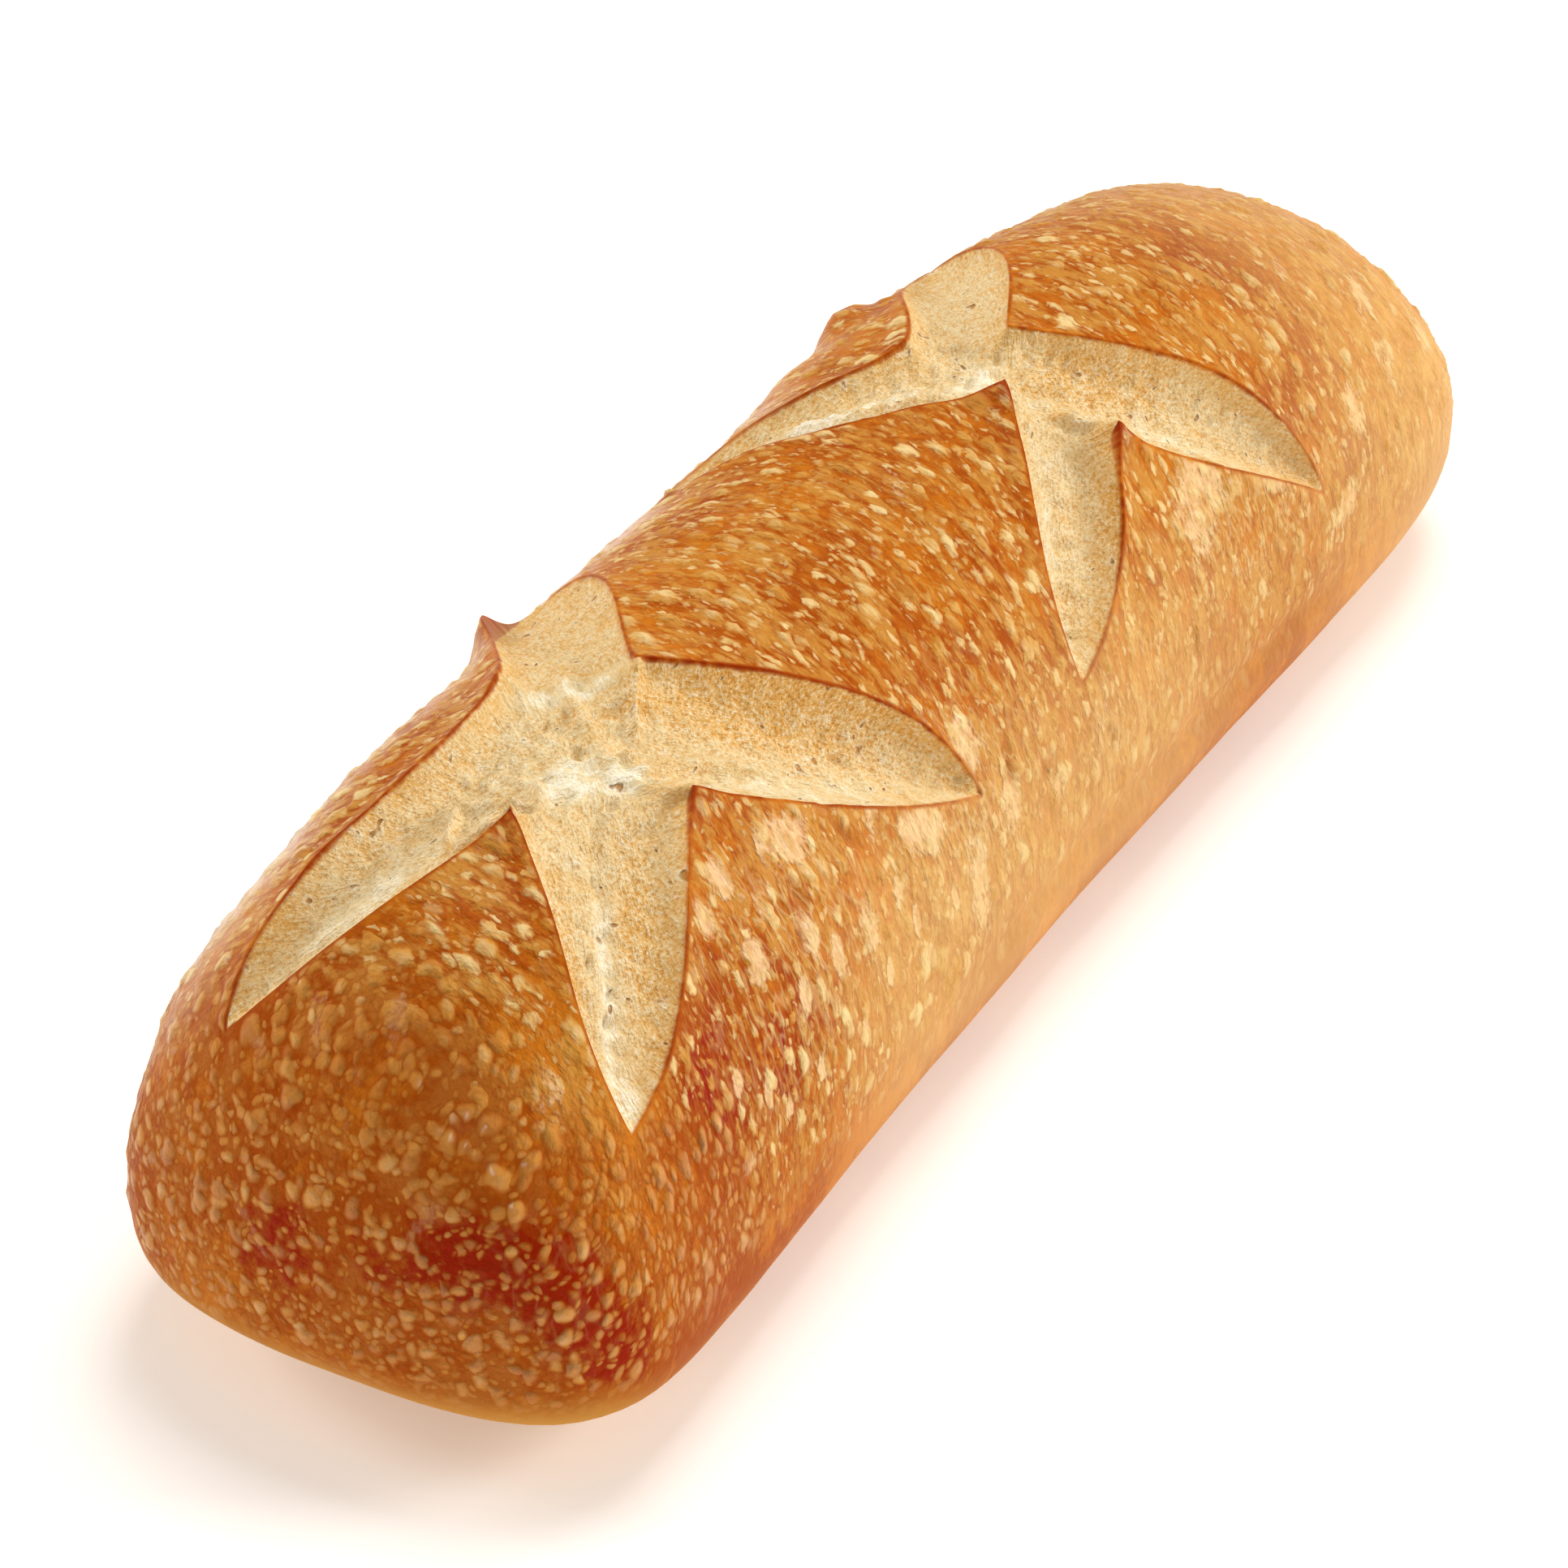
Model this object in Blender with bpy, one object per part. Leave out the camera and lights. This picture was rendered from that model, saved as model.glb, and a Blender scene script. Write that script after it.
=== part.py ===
# A long sourdough loaf, whole, lying on its flat foot. One solid.
# +X runs along the loaf with its blunt end at -X. +Z is up, and the foot is at z = 0.
# Two opened scores, each a slanted cross, lie one behind the other along the crown.

import math

import bmesh
import bpy
import numpy as np
from mathutils import Vector, geometry, noise

# Driving sizes, in metres
LENGTH = 0.370
WIDTH = 0.1033
HEIGHT = 0.0931
WAIST_HEIGHT = 0.0257  # where a section is widest
FOOT_CUT = 1.07  # the part below the waist, cut off flat by this share
BOW = 0.0067  # the middle lies this far to +Y of the ends
SKEW = -0.0010

# Squareness of a section above and below the waist: 2 is round
CROWN_POWER = 1.97
FOOT_POWER = 3.1

# Squareness of the two ends, blunt one first
PLAN_END_POWER = (16.0, 11.0)
CROWN_END_POWER = (7.2, 3.15)
FOOT_END_POWER = (6.5, 4.0)

# Swell of the crown and of the plan at stations along the half length, as shares
STATIONS = (-0.85, -0.55, -0.25, 0.05, 0.35, 0.65, 0.90)
CROWN_SWELL = (0.080, 0.065, -0.024, -0.072, -0.021, -0.015, -0.014)
PLAN_SWELL = (0.034, 0.004, 0.001, -0.003, -0.004, -0.020, -0.013)
STATION_REACH = 0.22

# Places on the skin are given in mm: along from the middle, and round from the crown
GIRTH_RADIUS = 0.058

# A score has a corner between each two arms, then the tip of the arm, and so on round.
# Each of its eight sides swells out at a third and two thirds of its run by "swell".
# "wall" is how gently the crumb falls away from that side, and "lip" how far the crust
# there stands up.
NEAR_SCORE = {
    "corners": ((-80, -4), (-99, -28), (-129, -8), (-93, 17)),
    "tips": ((-33, -65), (-153, -56), (-169, 33), (-42, 47)),
    "swell": ((-1, 5), (2, 2), (1, 4), (5, 0), (4, 5.5), (0.5, -7), (0, 5), (7, 1)),
    "wall": (1.6, 5.0, 3.2, 2.6, 4.5, 2.2, 8.0, 9.0),
    "lip": (1.8, 0.7, 0.6, 1.2, 0.8, 1.5, 1.5, 0.5),
    "peaks": (0.6, 1.2, 2.6, 0.8),
    "depth": 7.0,
}
FAR_SCORE = {
    "corners": ((54, -5), (48, -34), (37, -14), (42, 11)),
    "tips": ((98, -72), (6, -64), (-14, 50), (94, 42)),
    "swell": ((-1, 6), (0.5, 2.5), (2, 3), (6, 0), (5, 4), (12, -3), (-1, 4), (8, 3)),
    "wall": (2.0, 3.4, 2.0, 3.0, 4.0, 3.2, 4.0, 4.5),
    "lip": (1.2, 0.9, 1.7, 1.0, 0.7, 0.6, 1.0, 0.3),
    "peaks": (0.4, 2.6, 2.6, 0.8),
    "depth": 6.0,
}
SCORES = (NEAR_SCORE, FAR_SCORE)
SIDE_POINTS = 40
LIP_REACH = 3.2
PEAK_REACH = 6.0

# Ears that stand up past the far shoulder: along, round, rise and reach in mm
EARS = ((-61, 41, 5.0, 6.0), (63, 41, 4.6, 6.5), (44, 42, 2.0, 15.0))

# The crease low on the long side, in mm
CREASE = {"round": -92.0, "start": -52.0, "end": 112.0, "depth": 1.1, "reach": 2.6}

# Slow undulation of the crust, in metres
WAVE_SIZE = 0.034
WAVE_RISE = 0.0009

# Mesh: the cells of the sides, foot and ends, and the steps in mm of the scored crown
CELLS_ALONG = 60
CELLS_ROUND = 24
CELLS_HIGH = 9
END_RUN = 0.031
TOP_ANGLE = math.radians(78)
SIDE_ANGLE = math.radians(130)
CROWN_STEP = 6.6
SCORE_STEP = 3.3
SCORE_ROWS = ((1.2, 3.3), (4.2, 4.5), (-1.8, 3.6))
CRUST_COLOUR = (0.56, 0.235, 0.062, 1.0)


def clear_scene():
    for item in list(bpy.data.objects):
        bpy.data.objects.remove(item, do_unlink=True)
    for group in list(bpy.data.collections):
        bpy.data.collections.remove(group)


def swell_at(u, shares):
    """Share of swell at u, blended between the stations."""
    gap = (u[..., None] - np.array(STATIONS)) / STATION_REACH
    weight = np.exp(-0.5 * gap * gap)
    return (weight * np.array(shares)).sum(-1) / weight.sum(-1)


def end_size(u, powers):
    power = np.where(u < 0, powers[0], powers[1])
    return np.sqrt(np.clip(1 - np.abs(u) ** power, 0, 1))


def skin_points(along, angle):
    """Points of the plain loaf at a distance along and an angle round from the crown."""
    u = np.clip(along / (LENGTH / 2), -1, 1)
    half_width = WIDTH / 2 * (1 + swell_at(u, PLAN_SWELL)) * end_size(u, PLAN_END_POWER)
    crown = (HEIGHT - WAIST_HEIGHT) * (1 + swell_at(u, CROWN_SWELL)) * end_size(u, CROWN_END_POWER)
    foot = FOOT_CUT * WAIST_HEIGHT * end_size(u, FOOT_END_POWER)
    cosine = np.cos(angle)
    sine = np.sin(angle)
    power = 2 / np.where(cosine > 0, CROWN_POWER, FOOT_POWER)
    y = half_width * np.sign(sine) * np.abs(sine) ** power
    y = y + BOW * (1 - u * u) + SKEW * u
    z = WAIST_HEIGHT + np.where(cosine > 0, crown, foot) * np.sign(cosine) * np.abs(cosine) ** power
    return np.stack((u * LENGTH / 2, y, np.maximum(z, 0)), -1)


def skin_normals(along, angle):
    step = 0.0008
    ahead = skin_points(along + step, angle) - skin_points(along - step, angle)
    across = skin_points(along, angle + 0.02) - skin_points(along, angle - 0.02)
    normal = np.cross(ahead, across)
    return normal / (np.linalg.norm(normal, axis=-1, keepdims=True) + 1e-12)


def score_sides(score):
    """The eight sides of a score, each a run of points in mm from one end to the other."""
    loop = [point for pair in zip(score["corners"], score["tips"]) for point in pair]
    t = np.linspace(0, 1, SIDE_POINTS)[:, None]
    sides = []
    for number, (first, second) in enumerate(score["swell"]):
        start = np.array(loop[number], float)
        end = np.array(loop[(number + 1) % 8], float)
        run = end - start
        outward = np.array((-run[1], run[0])) / np.hypot(*run)
        bulge = 6.75 * (first * t * (1 - t) ** 2 + second * t * t * (1 - t))
        sides.append(start + run * t + outward * bulge)
    return sides


def nearest_on(place, side):
    """Distance from each place to a side, and the share of the side's run at the nearest point."""
    gap = np.full(len(place), 1e9)
    share = np.zeros(len(place))
    steps = len(side) - 1
    for number in range(steps):
        start = side[number]
        run = side[number + 1] - start
        t = np.clip((place - start) @ run / (run @ run), 0, 1)
        distance = np.linalg.norm(place - start - t[:, None] * run, axis=1)
        closer = distance < gap
        gap = np.where(closer, distance, gap)
        share = np.where(closer, (number + t) / steps, share)
    return gap, share


def outline_gap(place, sides):
    return np.min([nearest_on(place, side)[0] for side in sides], axis=0)


def within_score(place, sides):
    """True for each place inside the score's outline. A place on the outline counts as crust."""
    outline = np.concatenate([side[:-1] for side in sides])
    following = np.roll(outline, -1, axis=0)
    x = place[:, 0]
    y = place[:, 1]
    inside = np.zeros(len(place), bool)
    for (x0, y0), (x1, y1) in zip(outline, following):
        if y0 == y1:
            continue
        crosses = (y0 > y) != (y1 > y)
        inside ^= crosses & (x < (x1 - x0) * (y - y0) / (y1 - y0) + x0)
    return inside & (outline_gap(place, sides) > 0.02)


def score_relief(place):
    """Height in mm that the scores add over the plain skin: below it in the crumb, above it at the lips."""
    relief = np.zeros(len(place))
    for score in SCORES:
        sides = score_sides(score)
        inside = within_score(place, sides)
        floor = np.ones(len(place))
        lip = np.zeros(len(place))
        for number, side in enumerate(sides):
            gap, share = nearest_on(place, side)
            floor *= 1 - np.exp(-gap / score["wall"][number])
            from_corner = share if number % 2 == 0 else 1 - share
            reach = np.where(inside, 0.7, LIP_REACH)
            rise = score["lip"][number] * np.sqrt(np.clip(1 - from_corner**2, 0, 1))
            lip = np.maximum(lip, rise * np.exp(-((gap / reach) ** 2)))
        for corner, peak in zip(score["corners"], score["peaks"]):
            gap = np.linalg.norm(place - np.array(corner), axis=1)
            reach = np.where(inside, 1.0, PEAK_REACH)
            lip = lip + peak * np.exp(-((gap / reach) ** 2))
        relief += lip - np.where(inside, score["depth"] * floor, 0)
    return relief


def ear_relief(place):
    relief = np.zeros(len(place))
    for along, around, rise, reach in EARS:
        gap = np.hypot(place[:, 0] - along, place[:, 1] - around)
        relief += rise * np.exp(-((gap / reach) ** 2))
    inside = np.zeros(len(place), bool)
    for score in SCORES:
        inside |= within_score(place, score_sides(score))
    return np.where(inside, 0, relief)


def crease_relief(place):
    gap = (place[:, 1] - CREASE["round"]) / CREASE["reach"]
    fade_in = np.clip((place[:, 0] - CREASE["start"]) / 20, 0, 1)
    fade_out = np.clip((CREASE["end"] - place[:, 0]) / 20, 0, 1)
    return -CREASE["depth"] * fade_in * fade_out * np.exp(-gap * gap)


def wave_relief(points):
    """The slow waves of the crust, in metres, calm on the foot."""
    waves = np.array([noise.noise(Vector(point) / WAVE_SIZE) for point in points])
    return WAVE_RISE * waves * np.clip((points[:, 2] - 0.006) / 0.020, 0, 1)


def meridian_lookup(steps):
    """Shares of the half length at steps counted over the skin from the blunt end to the other."""
    halves = []
    for power in (8.0, 5.0):
        u = np.sin(np.linspace(0, math.pi / 2, 2000))
        radius = WIDTH / 2 * np.sqrt(np.clip(1 - u**power, 0, 1))
        run = np.hypot(np.diff(u * LENGTH / 2), np.diff(radius))
        halves.append((u, np.concatenate(((0,), np.cumsum(run)))))
    u = np.concatenate((-halves[0][0][::-1], halves[1][0][1:]))
    run = np.concatenate((-halves[0][1][::-1], halves[1][1][1:]))
    rings = CELLS_ROUND / 2
    marks = (0, rings, rings + CELLS_ALONG, 2 * rings + CELLS_ALONG)
    runs = (run[0], run[0] + END_RUN, run[-1] - END_RUN, run[-1])
    return np.interp(np.interp(steps, marks, runs), run, u)


def gridded_box():
    """A box two units wide, its faces cut into cells and its top taken off."""
    cage = bmesh.new()
    bmesh.ops.create_cube(cage, size=2.0)
    for axis, cells in enumerate((CELLS_ALONG, CELLS_ROUND, CELLS_HIGH)):
        lengthwise = [e for e in cage.edges if abs(e.verts[0].co[axis] - e.verts[1].co[axis]) > 1e-5]
        bmesh.ops.subdivide_edges(cage, edges=lengthwise, cuts=cells - 1, use_grid_fill=True)
    lid = [face for face in cage.faces if face.normal.z > 0.5]
    bmesh.ops.delete(cage, geom=lid, context="FACES")
    mesh = bpy.data.meshes.new("loaf")
    cage.to_mesh(mesh)
    cage.free()
    return mesh


def box_to_places(corners):
    """Turns points of the box into places on the skin, in mm."""
    a, b, c = corners.T
    ring = np.maximum(np.abs(b), np.abs(c))
    rings = CELLS_ROUND / 2
    step = np.where(a < -0.9999, ring * rings, rings + (a + 1) / 2 * CELLS_ALONG)
    step = np.where(a > 0.9999, CELLS_ALONG + (2 - ring) * rings, step)
    u = meridian_lookup(step)
    b = b / np.maximum(ring, 1e-9)
    c = c / np.maximum(ring, 1e-9)
    beside = TOP_ANGLE + (1 - c) / 2 * (SIDE_ANGLE - TOP_ANGLE)
    below = math.pi - np.abs(b) * (math.pi - SIDE_ANGLE)
    turned = np.where(c > 0.9999, np.abs(b) * TOP_ANGLE, np.where(c < -0.9999, below, beside))
    turned = turned * np.where(b < 0, -1, 1)
    return np.stack((u * LENGTH / 2, turned * GIRTH_RADIUS), -1) * 1000


def even_steps(side, step):
    """Points at even steps along a side, without its last one."""
    runs = np.concatenate(((0,), np.cumsum(np.linalg.norm(np.diff(side, axis=0), axis=1))))
    count = max(2, round(runs[-1] / step))
    at = np.linspace(0, runs[-1], count + 1)[:-1]
    return np.stack((np.interp(at, runs, side[:, 0]), np.interp(at, runs, side[:, 1])), -1)


def row_beside(sides, offset, step):
    """A row of points that keeps its offset from a score: inside where the offset is above zero."""
    rows = []
    for side in sides:
        points = even_steps(side, step)
        run = np.gradient(points, axis=0)
        inward = np.stack((run[:, 1], -run[:, 0]), -1) / np.linalg.norm(run, axis=1)[:, None]
        rows.append(points + inward * offset)
    row = np.concatenate(rows)
    same_side = within_score(row, sides) == (offset > 0)
    return row[same_side & (outline_gap(row, sides) > abs(offset) * 0.9)]


def spaced_out(points, others, gap):
    """The points that keep a gap from the others and from one another."""
    kept = np.array(others)
    for point in points:
        if np.min(np.sum((kept - point) ** 2, axis=1)) > gap * gap:
            kept = np.concatenate((kept, point[None]))
    return kept


def crown_grid(rim):
    """Points in offset columns over the crown, inside its rim."""
    low = rim.min(0)
    high = rim.max(0)
    columns = np.unique(np.round(rim[:, 0], 3))[1:-1]
    count = round((high[1] - low[1]) / CROWN_STEP)
    points = []
    for number, column in enumerate(columns):
        share = (np.arange(1, count + number % 2) - 0.5 * (number % 2)) / count
        points.append(np.stack((np.full_like(share, column), low[1] + (high[1] - low[1]) * share), -1))
    return np.concatenate(points)


def crown_faces(rim, rim_edges):
    """Points and triangles of the scored crown, fitted to the scores' outlines and to the rim."""
    fixed = [rim]
    edges = [tuple(edge) for edge in rim_edges]
    count = len(rim)
    outlines = [score_sides(score) for score in SCORES]
    for sides in outlines:
        loop = np.concatenate([even_steps(side, SCORE_STEP) for side in sides])
        edges += [(count + n, count + (n + 1) % len(loop)) for n in range(len(loop))]
        fixed.append(loop)
        count += len(loop)
    points = np.concatenate(fixed)
    for offset, step in SCORE_ROWS:
        for sides in outlines:
            points = spaced_out(row_beside(sides, offset, step), points, 0.72 * abs(offset))
    points = spaced_out(crown_grid(rim), points, 0.55 * CROWN_STEP)
    flat = [Vector(point) for point in points]
    found, _, faces, first, _, _ = geometry.delaunay_2d_cdt(flat, edges, [], 1, 1e-6)
    return np.array([tuple(point) for point in found]), faces, first


def shape_loaf(mesh):
    """Closes the box with the scored crown, then moves every point to its place on the skin."""
    corners = np.empty(len(mesh.vertices) * 3)
    mesh.vertices.foreach_get("co", corners)
    corners = corners.reshape(-1, 3)
    place = box_to_places(corners)
    faces = [tuple(face.vertices) for face in mesh.polygons]
    rim = np.flatnonzero(corners[:, 2] > 0.9999)
    number_in_rim = {vertex: number for number, vertex in enumerate(rim)}
    rim_edges = [
        [number_in_rim[vertex] for vertex in edge.vertices]
        for edge in mesh.edges
        if all(vertex in number_in_rim for vertex in edge.vertices)
    ]
    found, triangles, first = crown_faces(place[rim], rim_edges)
    index = []
    added = []
    for point, names in zip(found, first):
        if names and names[0] < len(rim):
            index.append(int(rim[names[0]]))
        else:
            index.append(len(place) + len(added))
            added.append(point)
    on_top = np.zeros(len(place) + len(added), bool)
    on_top[len(place) :] = True
    place = np.concatenate((place, np.array(added)))
    faces += [tuple(index[vertex] for vertex in face) for face in triangles]

    along = place[:, 0] / 1000
    angle = place[:, 1] / 1000 / GIRTH_RADIUS
    points = skin_points(along, angle)
    normals = skin_normals(along, angle)
    relief = crease_relief(place)
    relief[on_top] += score_relief(place[on_top]) + ear_relief(place[on_top])
    points += normals * (relief / 1000 + wave_relief(points))[:, None]
    points[:, 2] = np.maximum(points[:, 2], 0)
    middle = (points.min(0) + points.max(0)) / 2
    points -= (middle[0], middle[1], 0)
    mesh.clear_geometry()
    mesh.from_pydata(points.tolist(), [], faces)


def crust_material():
    material = bpy.data.materials.new("browned crust")
    material.use_nodes = True
    shader = material.node_tree.nodes["Principled BSDF"]
    shader.inputs["Base Color"].default_value = CRUST_COLOUR
    shader.inputs["Roughness"].default_value = 0.48
    shader.inputs["Metallic"].default_value = 0.0
    return material


def build_loaf():
    clear_scene()
    group = bpy.data.collections.new("sourdough loaf")
    bpy.context.scene.collection.children.link(group)
    mesh = gridded_box()
    shape_loaf(mesh)
    loaf = bpy.data.objects.new("loaf", mesh)
    group.objects.link(loaf)
    mesh.materials.append(crust_material())
    mesh.polygons.foreach_set("use_smooth", [True] * len(mesh.polygons))


build_loaf()
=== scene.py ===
import math

import bmesh
import bpy
import numpy as np
from mathutils import Matrix, Vector, geometry, kdtree, noise


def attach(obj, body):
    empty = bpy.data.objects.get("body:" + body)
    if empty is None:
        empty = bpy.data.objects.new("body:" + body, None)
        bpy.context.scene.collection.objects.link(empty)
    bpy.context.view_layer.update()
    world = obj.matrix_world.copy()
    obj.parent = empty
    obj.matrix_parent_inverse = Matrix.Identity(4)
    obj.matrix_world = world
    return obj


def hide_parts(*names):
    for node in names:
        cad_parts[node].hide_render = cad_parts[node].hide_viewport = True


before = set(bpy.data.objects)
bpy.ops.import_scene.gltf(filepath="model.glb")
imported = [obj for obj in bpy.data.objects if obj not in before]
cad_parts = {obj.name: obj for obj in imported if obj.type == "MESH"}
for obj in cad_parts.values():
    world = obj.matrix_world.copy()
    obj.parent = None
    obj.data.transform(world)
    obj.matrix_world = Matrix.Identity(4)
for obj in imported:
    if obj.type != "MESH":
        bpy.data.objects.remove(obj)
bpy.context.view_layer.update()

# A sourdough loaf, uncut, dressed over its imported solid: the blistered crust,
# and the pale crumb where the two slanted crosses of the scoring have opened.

bpy.ops.object.select_all(action="DESELECT")

# The plain loaf, in metres: +X along it with the blunt end at -X, foot at z = 0
loafShape = {
    "length": 0.370,
    "width": 0.1033,
    "height": 0.0931,
    "waist": 0.0257,  # height of the widest part of a section
    "footCut": 1.07,
    "bow": 0.0067,  # the middle lies this far to +Y of the ends
    "skew": -0.0010,
    "crownPower": 1.97,  # squareness of a section above and below the waist
    "footPower": 3.1,
    "planEnds": (16.0, 11.0),  # squareness of the blunt end and of the other
    "crownEnds": (7.2, 3.15),
    "footEnds": (6.5, 4.0),
    "stations": (-0.85, -0.55, -0.25, 0.05, 0.35, 0.65, 0.90),  # shares of the half length
    "crownSwell": (0.080, 0.065, -0.024, -0.072, -0.021, -0.015, -0.014),
    "planSwell": (0.034, 0.004, 0.001, -0.003, -0.004, -0.020, -0.013),
    "stationReach": 0.22,
    "girthRadius": 0.058,  # turns an angle round the loaf into a length
    "shift": (0.000204, 0.0049, 0),  # brings the middle of the loaf to the origin
    "waveSize": 0.034,
    "waveRise": 0.0009,
    "waveFrom": 0.006,  # the waves and lumps begin this far above the foot
    "waveFade": 0.020,
}

# The two opened scores. Places on the skin are in mm: along from the middle, and round
# from the crown, below zero on the visible side. Corners and tips take turns, and there
# are eight sides between them
nearScore = {
    "corners": ((-80, -4), (-99, -28), (-129, -8), (-93, 17)),
    "tips": ((-33, -65), (-153, -56), (-169, 33), (-42, 47)),
    "swell": ((-1, 5), (2, 2), (1, 4), (5, 0), (4, 5.5), (0.5, -7), (0, 5), (7, 1)),
    "wall": (2.2, 5.0, 3.2, 2.6, 4.5, 2.2, 8.0, 9.0),  # how gently the crumb falls away
    "lip": (1.1, 0.7, 0.6, 1.2, 0.8, 1.5, 1.5, 0.5),
    "scorch": (1.0, 0.7, 0.35, 0.8, 0.5, 0.9, 0.7, 0.3),  # how dark the edge baked
    "soften": (0.6, 0.9, 1.6, 0.8, 1.2, 0.8, 1.0, 3.0),  # width of the change to crumb
    "peaks": (0.6, 1.2, 2.6, 0.8),
    "peakScorch": (0.5, 0.7, 1.0, 0.2),
    "depth": 7.0,
    "centre": (-103, -12),
}
farScore = {
    "corners": ((54, -5), (48, -34), (37, -14), (42, 11)),
    "tips": ((98, -72), (6, -64), (-14, 50), (94, 42)),
    "swell": ((-1, 6), (0.5, 2.5), (2, 3), (6, 0), (5, 4), (12, -3), (-1, 4), (8, 3)),
    "wall": (2.0, 3.4, 2.0, 3.0, 4.0, 3.2, 4.0, 4.5),
    "lip": (1.2, 0.9, 1.7, 1.0, 0.7, 0.6, 1.0, 0.3),
    "scorch": (0.7, 0.6, 0.9, 0.5, 0.45, 0.4, 0.6, 0.2),
    "soften": (0.8, 0.9, 0.8, 1.0, 1.2, 1.4, 1.2, 2.0),
    "peaks": (0.4, 2.6, 2.6, 0.8),
    "peakScorch": (0.3, 1.0, 1.0, 0.2),
    "depth": 6.0,
    "centre": (43, -10),
}
scores = (nearScore, farScore)

# What both scores share. Reaches are in mm
scoreEdges = {
    "onLine": 0.02,  # a place closer than this is on the outline
    "farGap": 6.0,  # stands for any gap that is wider
    "reaches": ((1.0, 3.2), (1.0, 6.0)),  # of a lip and a peak, inside the outline and outside
    "scorchReach": 0.8,
    "tipScorch": 0.35,  # share of the scorch that is left at a tip
    "peakScorchReach": 3.0,
    "cornerReach": 5.5,
    "edgingReach": 0.9,
    "crumbRise": 2.2,
    "grainChange": 4.0,  # half the width over which the grain turns
}

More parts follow.
